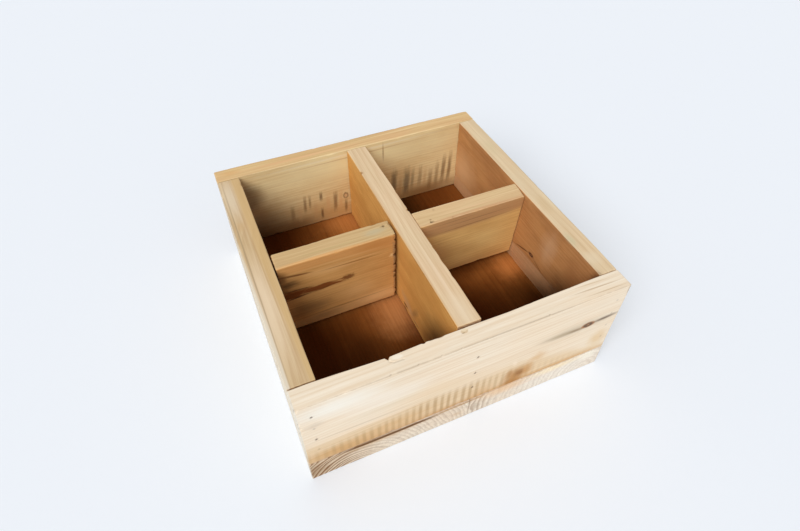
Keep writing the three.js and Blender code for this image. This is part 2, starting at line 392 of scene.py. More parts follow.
BACK_SAWN_TOP = 56 * MM
BACK_SAWN_FADE = 4 * MM
BACK_SAWN_WAVER = 2.5 * MM
BACK_SAWN_LENGTH = 90 * MM
BACK_STRIPE_LENGTH = 80 * MM
BACK_STRIPE_SHARE = 0.35
BACK_STRIPE_SWING = 0.4
BACK_STRIPE_MOST = 0.8


def front_sawn(points, normals):
    """Rough-sawn lower band of the front face, below a soft line that sinks to the right. The saw's stripes
    are strongest left of the middle and fade out upwards."""
    x, z = points[:, X], points[:, Z]
    waver = FRONT_SAWN_WAVER * sines(points * (1, 0, 0), FRONT_SAWN_LENGTH, seed=31)
    top = np.interp(x, FRONT_SAWN_X, FRONT_SAWN_TOP) + waver
    fade = np.interp(x, FRONT_SAWN_X, FRONT_SAWN_FADE)
    facing = smooth(-normals[:, Y], *SAWN_FACING)
    zone = facing * smooth(top - z, -fade, fade)
    share = np.interp(x, FRONT_SAWN_X, FRONT_STRIPE_SHARE)
    over = np.interp(x, FRONT_SAWN_X, FRONT_STRIPE_TOP) - z
    return zone, facing * share * smooth(over, 0, FRONT_STRIPE_FADE)


def right_sawn(points, normals):
    """Strip along the foot of the right wall's inner face, left greyer and rougher by the saw."""
    waver = RIGHT_SAWN_WAVER * sines(points * (0, 1, 0), RIGHT_SAWN_LENGTH, seed=33)
    over = RIGHT_SAWN_TOP - RIGHT_SAWN_FALL * points[:, Y] + waver - points[:, Z]
    zone = smooth(-normals[:, X], *SAWN_FACING) * smooth(over, -RIGHT_SAWN_FADE, RIGHT_SAWN_FADE)
    return zone, RIGHT_STRIPE_SHARE * zone


def back_sawn(points, normals):
    """Rough-sawn lower half of the back board's outer face, with faint stripes that come and go."""
    waver = BACK_SAWN_WAVER * sines(points * (1, 0, 0), BACK_SAWN_LENGTH, seed=35)
    over = BACK_SAWN_TOP + waver - points[:, Z]
    zone = smooth(normals[:, Y], *SAWN_FACING) * smooth(over, -BACK_SAWN_FADE, BACK_SAWN_FADE)
    swing = BACK_STRIPE_SWING * sines(points * (1, 0, 0.5), BACK_STRIPE_LENGTH, seed=36)
    return zone, zone * np.clip(BACK_STRIPE_SHARE + swing, 0, BACK_STRIPE_MOST)


def plane_all_over(points, normals):
    """A board that is planed all over."""
    return np.zeros(len(points)), np.zeros(len(points))


# Listed nicks on edges: centre in millimetres and radius
NICKS = {
    "front_board": [
        ((-62.2, FRONT, RIM), 1.3), ((-43.1, FRONT, RIM), 1.2), ((-26.5, FRONT, RIM), 1.4),
        ((-12.1, FRONT, RIM), 1.2), ((55.6, FRONT, RIM), 1.3), ((-33.2, -109, RIM), 1.8),
        ((LEFT, FRONT, 99.5), 2.6), ((LEFT, FRONT, 83), 2.0), ((LEFT, FRONT, 77), 2.2),
        ((LEFT, FRONT, 71), 2.0),
    ],
    "long_divider": [((LONG_LEFT, 72.9, RIM), 1.9), ((LONG_RIGHT, 12.3, RIM), 2.0)],
    "right_cross_divider": [((30, 7, RIM), 1.6)],
}

BOARDS = {
    "front_board": dict(grain=X, inner=("back",), sawn=front_sawn, seed=1, slot="wall_wood"),
    "back_board": dict(grain=X, inner=("front",), sawn=back_sawn, seed=2, slot="wall_wood"),
    "left_board": dict(grain=Y, inner=("right",), seed=3, slot="wall_wood"),
    "right_board": dict(grain=Y, inner=("left",), sawn=right_sawn, seed=4, slot="wall_wood"),
    "long_divider": dict(grain=Y, inner=("left", "right"), seed=5, slot="divider_wood"),
    "left_cross_divider": dict(
        grain=X, inner=("front", "back"), seed=6, slot="divider_wood", soft=1.6, ragged_end=2.0 * MM
    ),
    "right_cross_divider": dict(
        grain=X, inner=("front", "back"), seed=7, slot="divider_wood", lean=RIGHT_CROSS_LEAN
    ),
    "base_board_left": dict(grain=Y, inner=("top", "right"), seed=8, slot="base_wood", soft=0.35),
    "base_board_right": dict(grain=Y, inner=("top", "left"), seed=9, slot="base_wood", soft=0.35),
}

# Worn hollow along the front board's inner top edge: places, depths and how far it runs down
HOLLOW_X = np.array([-112, -92, -70, -58, -45, -30, 0, 30, 60, 95]) * MM
HOLLOW_DEPTH = np.array([0, 0.8, 2.1, 2.8, 2.2, 1.3, 1.4, 1.6, 1.0, 0]) * MM
HOLLOW_DROP = 30 * MM
HOLLOW_INTO = 8 * MM

# Chip out of the same edge: its mouth, its tip in the rim and how far it runs down
CHIP_LEFT = -63.3 * MM
CHIP_RIGHT = -56.2 * MM
CHIP_TIP = -59.4 * MM
CHIP_INTO = 5.4 * MM
CHIP_DROP = 8 * MM

# Closer grid lines round the chip and the crack
CHIP_MIDDLE = -55 * MM
CHIP_REACH = 9 * MM
CHIP_STEP = 0.45 * MM
CHIP_EDGE_REACH = 4 * MM
CHIP_EDGE_STEP = 0.5 * MM

# Crack in the rim: it runs from the chip's tip round a splinter
CRACK = np.array([(-59.4, -113.6), (-57.2, -116.4), (-49.5, -116.6)]) * MM
CRACK_WIDTH = 0.6 * MM
CRACK_DEPTH = 0.6 * MM
CRACK_FADE = (1.5 * MM, 0.8 * MM)


def front_chip(points, edge_y, rim_z):
    """Depth, along the diagonal into the board, of the chip in the inner top edge: a surface point inside
    the corner that two slanted planes cut off moves to the nearer plane."""
    start = np.array([CHIP_LEFT, edge_y, rim_z])
    end = np.array([CHIP_RIGHT, edge_y, rim_z])
    tip = np.array([CHIP_TIP, edge_y - CHIP_INTO, rim_z])
    foot = np.array([(CHIP_LEFT + CHIP_RIGHT) / 2, edge_y, rim_z - CHIP_DROP])
    inward = np.array([0, -1, -1]) / math.sqrt(2)
    depths = []
    for corner in (start, end):
        normal = np.cross(tip - corner, foot - corner)
        normal /= -np.linalg.norm(normal) * np.sign(normal @ inward)
        depths.append(((points - corner) @ normal) / -(normal @ inward))
    return np.clip(np.minimum(*depths), 0, None)[:, None] * inward


def front_crack(points, rim_z):
    """Drop of a narrow groove in the rim along the straight runs of the crack, deepest in its middle."""
    on_rim = smooth(points[:, Z], rim_z - CRACK_FADE[0], rim_z - CRACK_FADE[1])
    depth = np.zeros(len(points))
    for start, end in zip(CRACK[:-1], CRACK[1:]):
        run = end - start
        share = np.clip((points[:, :2] - start) @ run / (run @ run), 0, 1)
        aside = np.linalg.norm(points[:, :2] - start - share[:, None] * run, axis=1)
        depth = np.maximum(depth, CRACK_DEPTH * smooth(aside, CRACK_WIDTH, 0) * on_rim)
    return depth[:, None] * np.array([0, 0, -1])


def front_hollow(points, edge_y, rim_z):
    """Depth of the worn hollow: its profile along X, fading out down the inner face and into the rim."""
    depth = np.interp(points[:, X], HOLLOW_X, HOLLOW_DEPTH)
    depth = depth * smooth(points[:, Z], rim_z - HOLLOW_DROP, rim_z - ARRIS)
    depth = depth * np.clip((points[:, Y] - edge_y + HOLLOW_INTO) / HOLLOW_INTO, 0, 1)
    return depth[:, None] * np.array([0, -1, 0])


def board_size(name, lean):
    """Centre and half sizes of a board. For a leaning one, its thickness and height are solved from the
    sides of its box: side = thickness cos + height sin, and the other way round."""
    low, high = (np.array(corner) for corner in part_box(name))
    side = high - low
    if lean:
        cos, sin = math.cos(lean), math.sin(lean)
        thickness = (side[Y] * cos - side[Z] * sin) / (cos ** 2 - sin ** 2)
        height = (side[Z] * cos - side[Y] * sin) / (cos ** 2 - sin ** 2)
        side = np.array([side[X], thickness, height])
    return (low + high) / 2, side / 2


def pits_of(low, high):
    """The nails whose heads lie just under a face of the box from low to high."""
    found = []
    for node, (head, axis, _) in nails.items():
        inside = np.all((head > low - HEAD_SLACK) & (head < high + HEAD_SLACK))
        entry = head - HEAD_COVER * axis
        if inside and not np.all((entry > low) & (entry < high)):
            found.append((head, axis, node in CLOSED_PITS))
    return found


def spots_to_refine(name, grain, centre, half, pits, nicks, ragged_end):
    """Where a board's grid needs closer lines along each axis: at pits, nicks, a ragged end and the chip."""
    fine = [[], [], []]
    for head, axis, _ in pits:
        for side in (X, Y, Z):
            if abs(axis[side]) < ACROSS_NAIL:
                fine[side].append(((head - centre)[side], PIT_REACH, PIT_STEP))
    for place, radius in nicks:
        for side in (grain, Z):
            fine[side].append(((place - centre)[side], NICK_REACH * radius, radius / NICK_LINES))
    if ragged_end:
        fine[Z].append((0.0, half[Z], RAGGED_STEP))
    if name == "front_board":
        fine[X].append((CHIP_MIDDLE - centre[X], CHIP_REACH, CHIP_STEP))
        for side in (Y, Z):
            fine[side].append((half[side] - CHIP_EDGE_REACH, CHIP_EDGE_REACH, CHIP_EDGE_STEP))
    return fine


def sink_pits(points, normals, depth, pits):
    """Sinks a bowl over each nail's head, down to the head or, where the wood has closed, just below the
    face. Returns the new depths and how dark each point is."""
    dark = np.zeros(len(points))
    for head, axis, closed in pits:
        from_head = points - head
        along = from_head @ axis
        aside = np.linalg.norm(from_head - np.outer(along, axis), axis=1)
        facing = smooth(-(normals @ axis), *PIT_FACING) * (np.abs(along) < PIT_THROUGH)
        bowl = smooth(aside, PIT_RADIUS + PIT_RIM, PIT_RADIUS) * facing
        sunk = np.einsum("ij,ij->i", from_head, normals) + PIT_FLOOR
        depth = depth * (1 - bowl) + bowl * (CLOSED_PIT_DEPTH if closed else sunk)
        most = CLOSED_PIT_DARK if closed else 1.0
        dark = np.maximum(dark, most * smooth(aside, PIT_RADIUS + 2 * PIT_RIM, PIT_RADIUS) * facing)
    return depth, dark


def bite_nicks(points, centre, half, nicks):
    """Draws each point inside a nick's ball towards the board's middle, across its thin sides, by as much
    as the ball's radius exceeds its distance. Returns the points and how dark each is."""
    dark = np.zeros(len(points))
    for nick, size in nicks:
        bite = np.clip(size - np.linalg.norm(points - nick, axis=1), 0, None)
        points = points + bite[:, None] * (centre - nick) * (half < THIN_HALF) / half.min() / NICK_SLOPE
        dark = np.maximum(dark, NICK_DARK * np.clip(bite / size, 0, 1))
    return points, dark


def make_board(name, grain, inner, seed, slot, sawn=plane_all_over, soft=1.0, ragged_end=0.0, lean=0.0):
    """A board: a box grid with finer lines at its edges and nails, its edges rounded by a radius that
    swells in nicks, its faces sunk by unevenness, saw marks, nail pits and chips, all inwards."""
    centre, half = board_size(name, lean)
    pits = pits_of(centre - half, centre + half)
    nicks = [(np.array(place) * MM, radius * MM) for place, radius in NICKS.get(name, [])]
    fine = spots_to_refine(name, grain, centre, half, pits, nicks, ragged_end)
    steps = [FACE_STEP] * 3
    if name == "front_board":
        steps[grain] = SAWN_STEP
    sharp, quads = box_surface([grid_lines(*side) for side in zip(half, steps, fine)])
    place = sharp + centre

    swell = ARRIS + ARRIS_SWING * sines(place, ARRIS_SWING_LENGTH, seed)
    nicked = np.clip(sines(place, NICK_LENGTH, seed + NICK_SEED) - NICK_RARITY, 0, None)
    torn = np.clip(sines(place, RAGGED_LENGTH, seed + RAGGED_SEED), 0, None)
    torn = torn * ragged_end * smooth(sharp[:, X], half[X] - RAGGED_REACH, half[X])
    radius = np.clip(soft * swell + NICK_DEPTH * nicked, *ARRIS_LIMITS)
    points, normals = round_edges(sharp, half, radius)
    points = points + centre
    points[:, X] -= torn

    zone, stripe_share = sawn(points, normals)
    ridges = 0.5 + 0.5 * np.sin(2 * math.pi * (points[:, grain] - SAW_START) / SAW_PITCH)
    uneven = 0.5 + 0.5 * sines(points, FACE_UNEVEN_LENGTH, seed + UNEVEN_SEED)
    depth = FACE_UNEVEN * np.clip(uneven, 0, FACE_UNEVEN_MOST)
    depth = depth + zone * SAWN_HOLLOW + stripe_share * SAW_DEPTH * ridges
    depth, pit_dark = sink_pits(points, normals, depth, pits)
    points = points - normals * depth[:, None]
    points, nick_dark = bite_nicks(points, centre, half, nicks)
    if name == "front_board":
        edge_y, rim_z = (centre + half)[1:]
        points = points + front_crack(points, rim_z)
        points = points + front_hollow(points, edge_y, rim_z)
        points = points + front_chip(points, edge_y, rim_z)
    if lean:
        turn = np.array(Matrix.Rotation(lean, 3, "X"))
        points = (points - centre) @ turn.T + centre

    # Inner faces take the finish's inner tone of painted light and shade; the base's top only inside the
    # walls
    faces_in = [normals @ np.array(ACROSS[side]) for side in inner]
    inner_face = smooth(np.max(faces_in, axis=0), *INNER_FACING)
    if "top" in inner:
        inner_face = inner_face * smooth(outer_distance(points), *COVERED)
    above_foot = smooth(sharp[:, Z] + half[Z], 0, FOOT_UNWORN)
    marks = {
        "arris": np.exp(-edge_distance(sharp, half) / ARRIS_REACH) * above_foot,
        "end_grain": smooth(np.abs(normals[:, grain]), *END_FACING),
        "inner_face": inner_face,
        "sawn": zone,
        "saw_marks": stripe_share,
        "nail_pit": np.maximum(pit_dark, nick_dark),
    }
    piece = mesh_object("wood_" + name, points, quads, marks)
    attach(piece, BODY)
    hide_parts(name)
    return piece


# Node wiring

def linear(red, green, blue):
    """A screen colour, 0 to 255, as scene-linear colour with full alpha."""
    channels = [value / 255 for value in (red, green, blue)]
    bent = [c / 12.92 if c <= 0.04045 else ((c + 0.055) / 1.055) ** 2.4 for c in channels]
    return (*bent, 1.0)


class Wiring:
    """Short names for placing and joining shader nodes in one tree."""

    def __init__(self, tree):
        self.tree = tree

    def node(self, kind, **settings):
        made = self.tree.nodes.new(kind)
        for key, value in settings.items():
            setattr(made, key, value)
        return made

    def feed(self, socket, value):
        if isinstance(value, bpy.types.NodeSocket):
            self.tree.links.new(value, socket)
        else:
            socket.default_value = value

    def math(self, operation, first, second=0.0, third=0.0):
        made = self.node("ShaderNodeMath", operation=operation)
        for socket, value in zip(made.inputs, (first, second, third)):
            self.feed(socket, value)
        return made.outputs[0]

    def times(self, first, second):
        return self.math("MULTIPLY", first, second)

    def vector(self, operation, first, second=None, scale=None):
        made = self.node("ShaderNodeVectorMath", operation=operation)
        self.feed(made.inputs[0], first)
        if second is not None:
            self.feed(made.inputs[1], second)
        if scale is not None:
            self.feed(made.inputs["Scale"], scale)
        return made.outputs["Value" if operation == "LENGTH" else "Vector"]

    def ramp(self, value, start, end, low=0.0, high=1.0):
        made = self.node("ShaderNodeMapRange", interpolation_type="SMOOTHSTEP")
        for socket, given in zip(made.inputs, (value, start, end, low, high)):
            self.feed(socket, given)
        return made.outputs[0]

    def noise(self, point, seed, detail=2.0, roughness=0.5, scale=1.0):
        made = self.node("ShaderNodeTexNoise", noise_dimensions="4D")
        self.feed(made.inputs["Vector"], point)
        self.feed(made.inputs["W"], seed)
        self.feed(made.inputs["Scale"], scale)
        self.feed(made.inputs["Detail"], detail)
        self.feed(made.inputs["Roughness"], roughness)
        return made.outputs[0]

    def mix(self, share, first, second, blend="MIX"):
        made = self.node("ShaderNodeMix", data_type="RGBA", blend_type=blend)
        self.feed(made.inputs["Factor"], share)
        self.feed(made.inputs[6], first)
        self.feed(made.inputs[7], second)
        return made.outputs[2]

    def lay(self, colour, tone, mask, share, blend="MIX"):
        """A tone over a colour, by a share of a mask."""
        return self.mix(self.times(mask, share), colour, tone, blend)

    def attribute(self, name):
        made = self.node("ShaderNodeAttribute", attribute_name=name)
        return made.outputs["Fac"]

    def group(self, tree, **inputs):
        made = self.node("ShaderNodeGroup", node_tree=tree)
        for key, value in inputs.items():
            self.feed(made.inputs[key.replace("_", " ")], value)
        return made.outputs


def new_group(name, inputs, outputs):
    """An empty node group with named sockets. Returns its tree, wiring, input sockets and output sockets."""
    tree = bpy.data.node_groups.new(name, "ShaderNodeTree")
    for label, kind in inputs:
        tree.interface.new_socket(label, in_out="INPUT", socket_type="NodeSocket" + kind)
    for label in outputs:
        tree.interface.new_socket(label, in_out="OUTPUT", socket_type="NodeSocketFloat")
    wire = Wiring(tree)
    return tree, wire, wire.node("NodeGroupInput").outputs, wire.node("NodeGroupOutput").inputs


# How noises are drawn out along X, along the board: a small number makes them long
WAVER_STRETCH = (0.006, 0.03, 0.03)
FIBRE_STRETCH = (0.014, 0.9, 0.9)
DRIFT_STRETCH = (0.008, 0.2, 0.2)
BLOTCH_STRETCH = (0.02, 0.05, 0.05)
WANDER_STRETCH = (0.035, 0.006, 0.006)
BROKEN_STRETCH = (0.09, 0.05, 0.05)


def pine_figure():
    """Growth rings round a pith line along X, with early wood fading into a late-wood line, fine fibres,
    streaky drifts of tone and cloudy blotches. Ring number = (distance from the pith + slant along X +
    waver + bulge) / spacing."""
    tree, wire, given, out = new_group(
        "pine_figure",
        [("Point", "Vector"), ("Pith", "Vector"), ("Spacing", "Float"), ("Slant", "Float"),
         ("Waver", "Float"), ("Bulge", "Float"), ("Seed", "Float")],
        ["Late wood", "Fibre", "Drift", "Blotch"],
    )
    across = wire.vector("MULTIPLY", wire.vector("SUBTRACT", given["Point"], given["Pith"]), (0, 1, 1))
    parts = wire.node("ShaderNodeSeparateXYZ")
    wire.feed(parts.inputs[0], given["Point"])
    slow = wire.noise(wire.vector("MULTIPLY", given["Point"], WAVER_STRETCH), given["Seed"])
    waver = wire.times(wire.math("SUBTRACT", slow, 0.5), given["Waver"])
    distance = wire.math("MULTIPLY_ADD", parts.outputs[0], given["Slant"], wire.vector("LENGTH", across))
    distance = wire.math("ADD", wire.math("ADD", distance, waver), given["Bulge"])
    rings = wire.math("DIVIDE", distance, given["Spacing"])
    uneven = wire.noise((0, 0, 0), wire.math("MULTIPLY_ADD", rings, 0.45, given["Seed"]))
    phase = wire.math("FRACT", wire.math("MULTIPLY_ADD", uneven, 2.2, rings))
    late = wire.times(wire.ramp(phase, 0.2, 0.85), wire.ramp(phase, 1.0, 0.88))
    fibre = wire.noise(wire.vector("MULTIPLY", given["Point"], FIBRE_STRETCH), given["Seed"], 5.0, 0.68)
    drift = wire.noise(wire.vector("MULTIPLY", given["Point"], DRIFT_STRETCH), given["Seed"], 3.0, 0.6)
    blotch = wire.noise(wire.vector("MULTIPLY", given["Point"], BLOTCH_STRETCH), given["Seed"], 4.0, 0.6)
    wire.feed(out["Late wood"], late)
    wire.feed(out["Fibre"], wire.ramp(fibre, 0.32, 0.7))
    wire.feed(out["Drift"], wire.ramp(drift, 0.3, 0.7))
    wire.feed(out["Blotch"], wire.ramp(blotch, 0.35, 0.68))
    return tree


def soft_patch():
    """A mask round a centre, turned, with a soft, ragged rim: 1 inside, 0 outside. Its distance runs from
    the root of summed squares (an ellipsoid) to the fourth root of summed fourth powers (nearly a bar)."""
    tree, wire, given, out = new_group(
        "soft_patch",
        [("Point", "Vector"), ("Centre", "Vector"), ("Reach", "Vector"), ("Turn", "Vector"),
         ("Softness", "Float"), ("Ragged", "Float"), ("Square", "Float")],
        ["Mask"],
    )
    turned = wire.node("ShaderNodeVectorRotate", rotation_type="EULER_XYZ", invert=True)
    wire.feed(turned.inputs["Vector"], wire.vector("SUBTRACT", given["Point"], given["Centre"]))
    wire.feed(turned.inputs["Rotation"], given["Turn"])
    scaled = wire.vector("DIVIDE", turned.outputs[0], given["Reach"])
    noise = wire.noise(wire.vector("ADD", scaled, given["Centre"]), given["Softness"], 4.0, 0.6, 2.2)
    ragged = wire.times(wire.math("SUBTRACT", noise, 0.5), given["Ragged"])
    fourth = wire.math("SQRT", wire.vector("LENGTH", wire.vector("MULTIPLY", scaled, scaled)))
    plain = wire.vector("LENGTH", scaled)
    distance = wire.math("MULTIPLY_ADD", wire.math("SUBTRACT", fourth, plain), given["Square"], plain)
    distance = wire.math("ADD", distance, ragged)
    wire.feed(out["Mask"], wire.ramp(distance, 1.0, wire.math("SUBTRACT", 1.0, given["Softness"])))
    return tree


def knot_eye():
    """A knot: a dark core with rings of its own, and the bulge by which it pushes the grain aside."""
    tree, wire, given, out = new_group(
        "knot_eye",
        [("Point", "Vector"), ("Centre", "Vector"), ("Reach", "Vector"), ("Push", "Float")],
        ["Core", "Rings", "Bulge"],
    )
    scaled = wire.vector("DIVIDE", wire.vector("SUBTRACT", given["Point"], given["Centre"]), given["Reach"])
    noise = wire.times(wire.noise(scaled, 3.0, 3.0, 0.6, 1.5), 0.5)
    distance = wire.math("ADD", wire.vector("LENGTH", scaled), wire.math("SUBTRACT", noise, 0.25))
    wire.feed(out["Core"], wire.ramp(distance, 1.1, 0.75))
    wire.feed(out["Rings"], wire.ramp(wire.math("PINGPONG", distance, 0.42), 0.36, 0.05))
    wide = wire.times(distance, 0.5)
    fall = wire.math("EXPONENT", wire.times(wire.times(wide, wide), -1.0))
    wire.feed(out["Bulge"], wire.times(fall, given["Push"]))
    return tree


def saw_stripes():
    """Stripes across the board from the saw's teeth: a sine along X whose spacing and strength wander."""
    tree, wire, given, out = new_group(
        "saw_stripes", [("Point", "Vector"), ("Pitch", "Float"), ("Seed", "Float")], ["Stripe"]
    )
    parts = wire.node("ShaderNodeSeparateXYZ")
    wire.feed(parts.inputs[0], given["Point"])
    wander = wire.noise(wire.vector("MULTIPLY", given["Point"], WANDER_STRETCH), given["Seed"], 1.0)
    travel = wire.math("SUBTRACT", parts.outputs[0], SAW_START / MM)
    steps = wire.math("DIVIDE", travel, given["Pitch"])
    phase = wire.math("MULTIPLY_ADD", wander, 1.2, steps)
    wave = wire.math("SINE", wire.times(phase, 2 * math.pi))
    broken = wire.noise(wire.vector("MULTIPLY", given["Point"], BROKEN_STRETCH), given["Seed"], 3.0, 0.6)
    wire.feed(out["Stripe"], wire.times(wire.ramp(wave, -0.8, 1.0), wire.ramp(broken, 0.1, 0.6)))
    return tree


def worn_edge():
    """Wear along the edges: the closeness to an edge, broken by noise."""
    tree, wire, given, out = new_group(
        "worn_edge", [("Arris", "Float"), ("Point", "Vector"), ("Seed", "Float")], ["Wear"]
    )
    noise = wire.noise(wire.vector("SCALE", given["Point"], scale=0.16), given["Seed"], 4.0, 0.65)
    strength = wire.times(given["Arris"], wire.times(noise, 2.0))
    wire.feed(out["Wear"], wire.ramp(strength, 0.35, 1.0))
    return tree


FIGURE = pine_figure()
PATCH = soft_patch()
KNOT = knot_eye()
STRIPES = saw_stripes()
WEAR = worn_edge()


# Wood finishes: screen colours, and ring layouts, knots and stains in millimetres

def stain(centre, reach, tone, share, softness, ragged, turn=(0, 0, 0), square=0.0):
    """A soft patch of another tone; turn is in degrees, and square draws it towards a bar."""
    return dict(
        centre=centre, reach=reach, tone=tone, share=share, softness=softness, ragged=ragged,
        turn=tuple(math.radians(angle) for angle in turn), square=square,
    )


def at_axis(axis, value, first, second):
    """Three numbers: a value for one axis, and the two others in their order."""
    numbers = [first, second]
    numbers.insert(axis, value)
    return tuple(numbers)


def stains_on(axis, place, depth, rows):
    """Stains on a face across an axis. A row is the middle and the half sizes along the two other axes, the
    tone, share, softness and raggedness and, where needed, the turn about the axis and the squareness."""
    marks = []
    for first, second, wide, high, tone, share, softness, ragged, *form in rows:
        turn, square = form + [0, 0.0][len(form):]
        centre = at_axis(axis, place, first, second)
        reach = at_axis(axis, depth, wide, high)
        marks.append(stain(centre, reach, tone, share, softness, ragged, at_axis(axis, turn, 0, 0), square))
    return marks


def knot(centre, reach, push, core=0.85):
    """A knot that pushes the grain aside; a core of 0 leaves only the bent grain."""
    return dict(centre=centre, reach=reach, push=push, core=core)


# Painted shade on the floor, where the front and left walls and the right cross divider shade it, and
# painted light in the lit places beside the dividers
FLOOR_PAINTED_LIGHT_AND_SHADE = stains_on(Z, FLOOR, 20, [
    (-92, -45, 84, 100, (72, 30, 3), 0.92, 0.9, 0.35), (-50, -102, 92, 88, (52, 22, 4), 0.96, 0.85, 0.35),
    (24, -55, 80, 74, (74, 26, 0), 0.95, 0.85, 0.35), (72, -104, 98, 100, (50, 15, 0), 0.98, 0.8, 0.35),
    (104, -72, 32, 58, (44, 15, 0), 0.9, 0.9, 0.35), (62, -2, 48, 20, (78, 30, 2), 0.75, 0.9, 0.35),
    (-92, 100, 82, 98, (74, 30, 3), 0.92, 0.85, 0.35), (76, 100, 84, 92, (98, 49, 14), 0.82, 0.9, 0.35),
    (34, 100, 50, 64, (50, 26, 6), 0.9, 0.8, 0.35), (101, -18, 22, 22, (218, 144, 80), 0.6, 0.95, 0.8),
    (-17, -24, 30, 40, (222, 160, 102), 0.6, 0.95, 0.8), (-15, 100, 34, 26, (214, 148, 86), 0.45, 0.95, 0.8),
    (-52, -50, 28, 26, (64, 28, 6), 0.45, 0.95, 0.4), (58, -58, 80, 62, (44, 15, 0), 0.28, 0.95, 0.4),
])

# Front board: painted light on its left end, pale and brown streaks, grey beside the knot, edges, rim
FRONT_STAINS = [
    # Painted light: the front board's left end, which the soft light strikes from the left
    stain((LEFT, -117, 60), (1.3, 40, 130), (228, 224, 212), 0.85, 0.4, 0.3),
] + stains_on(Y, FRONT, 3, [
    (-66, 76, 50, 14, (244, 234, 219), 0.55, 0.9, 0.5), (-98, 89, 48, 16, (247, 244, 234), 0.7, 0.95, 0.4),
    (-55, 64, 62, 5, (222, 202, 170), 0.4, 1.0, 0.4), (-30, 62, 34, 9, (238, 210, 174), 0.35, 0.9, 0.5),
    (-82, 53.6, 56, 1.3, (204, 178, 146), 0.5, 0.8, 0.5, 1.2),
    (-84, 49.6, 56, 2.2, (247, 226, 200), 0.5, 0.9, 0.4, 1.2),
    (-100, 29, 56, 14, (204, 158, 100), 0.8, 0.95, 0.5), (-20, 23, 130, 8, (194, 138, 74), 0.75, 1.0, 0.4),
    (-58, 33, 52, 13, (216, 174, 120), 0.6, 1.0, 0.5), (-25, 55, 62, 11, (226, 198, 158), 0.4, 1.0, 0.4),
    (-115, 75, 10, 5, (212, 196, 176), 0.5, 0.9, 0.6), (10, 30, 18, 9, (206, 160, 108), 0.45, 1.0, 0.6),
    (38, 26, 12, 7, (168, 112, 54), 0.8, 0.8, 0.5), (84, 23, 70, 7, (202, 150, 88), 0.65, 1.0, 0.4),
    (41, 33, 19, 15, (184, 130, 70), 0.88, 0.9, 0.6, -25), (34, 39, 5, 9, (178, 126, 70), 0.6, 0.9, 0.8),
    (50, 36, 7, 14, (200, 146, 84), 0.6, 0.9, 0.8), (43, 35, 6, 7, (142, 94, 50), 0.7, 0.95, 0.8, -20),
    (57, 49, 11, 9, (218, 178, 128), 0.6, 0.9, 0.8), (36.5, 52, 3, 6, (248, 228, 204), 0.5, 0.9, 0.8, -20),
    (114, 41, 13, 16, (222, 188, 138), 0.65, 0.9, 0.8), (88, 68, 46, 9, (194, 174, 146), 0.55, 1.0, 0.4),
    (75, 66.4, 28, 4.4, (160, 142, 114), 0.6, 1.0, 0.4, 1.5),
    (112, 68.2, 18, 2.8, (86, 62, 46), 0.8, 0.9, 0.4, -4),
    (87, 65.8, 12, 2.6, (138, 114, 88), 0.65, 0.9, 0.5, 2),
]) + [
    stain((0, FRONT, RIM), (150, 1.3, 1.3), (158, 140, 118), 0.6, 0.9, 0.6),
    stain((RIGHT, FRONT, 96), (2.5, 2.5, 9), (118, 102, 88), 0.55, 0.9, 0.6),
] + stains_on(Z, RIM, 3, [
    (100, -117, 30, 0.8, (182, 150, 112), 0.7, 0.9, 0.5, -1.5),
    (106, -122, 24, 0.6, (186, 156, 118), 0.65, 0.9, 0.5, -1),
    (98, -112.5, 22, 0.7, (200, 168, 128), 0.55, 0.9, 0.5, -2),
    (-53.6, -113.6, 5.2, 2.6, (250, 240, 222), 0.6, 0.5, 0.6, -16),
    (-4.4, -113.2, 3.3, 2.1, (198, 162, 112), 0.6, 0.4, 0.4),
    (-4.0, -112.2, 2.5, 1.5, (238, 220, 188), 0.7, 0.4, 0.4),
    (-5.8, -114.3, 1.8, 0.6, (146, 114, 78), 0.6, 0.7, 0.4),
])

# Saw bars on the back board's inner face: place, middle height, half width, half height, tone, share
BACK_BARS = [
    (40, 47, 4.2, 21, (92, 74, 58), 0.64), (54, 45, 5.0, 22, (88, 72, 58), 0.62),
    (60.5, 45, 2.6, 18, (118, 92, 68), 0.45), (69, 47, 3.2, 17, (136, 98, 62), 0.45),
    (80.5, 39, 3.4, 18, (132, 93, 54), 0.5), (88, 44, 3.0, 20, (128, 90, 52), 0.5),
    (95.5, 48, 3.2, 23, (116, 80, 44), 0.66), (102.5, 49, 3.0, 24, (116, 80, 44), 0.7),
    (-66, 43, 3.0, 12, (116, 82, 52), 0.45), (-53, 50, 2.2, 13, (118, 80, 46), 0.6),
    (-48, 52, 1.8, 10, (122, 84, 48), 0.55), (-36.5, 55, 2.2, 7, (92, 60, 34), 0.7),
    (-37, 34, 2.0, 9, (98, 64, 36), 0.7), (-22.5, 45, 3.0, 16, (116, 78, 42), 0.65),
    (-12, 36, 2.2, 11, (110, 72, 40), 0.6), (-59, 40, 3.0, 14, (216, 176, 126), 0.3),
    (-43, 40, 3.0, 15, (214, 172, 120), 0.4), (-30, 44, 3.0, 15, (224, 180, 126), 0.5),
    (-17, 44, 2.6, 15, (222, 176, 120), 0.5), (47, 42, 2.6, 16, (206, 166, 112), 0.4),
    (74.5, 44, 2.6, 15, (208, 166, 112), 0.4),
]
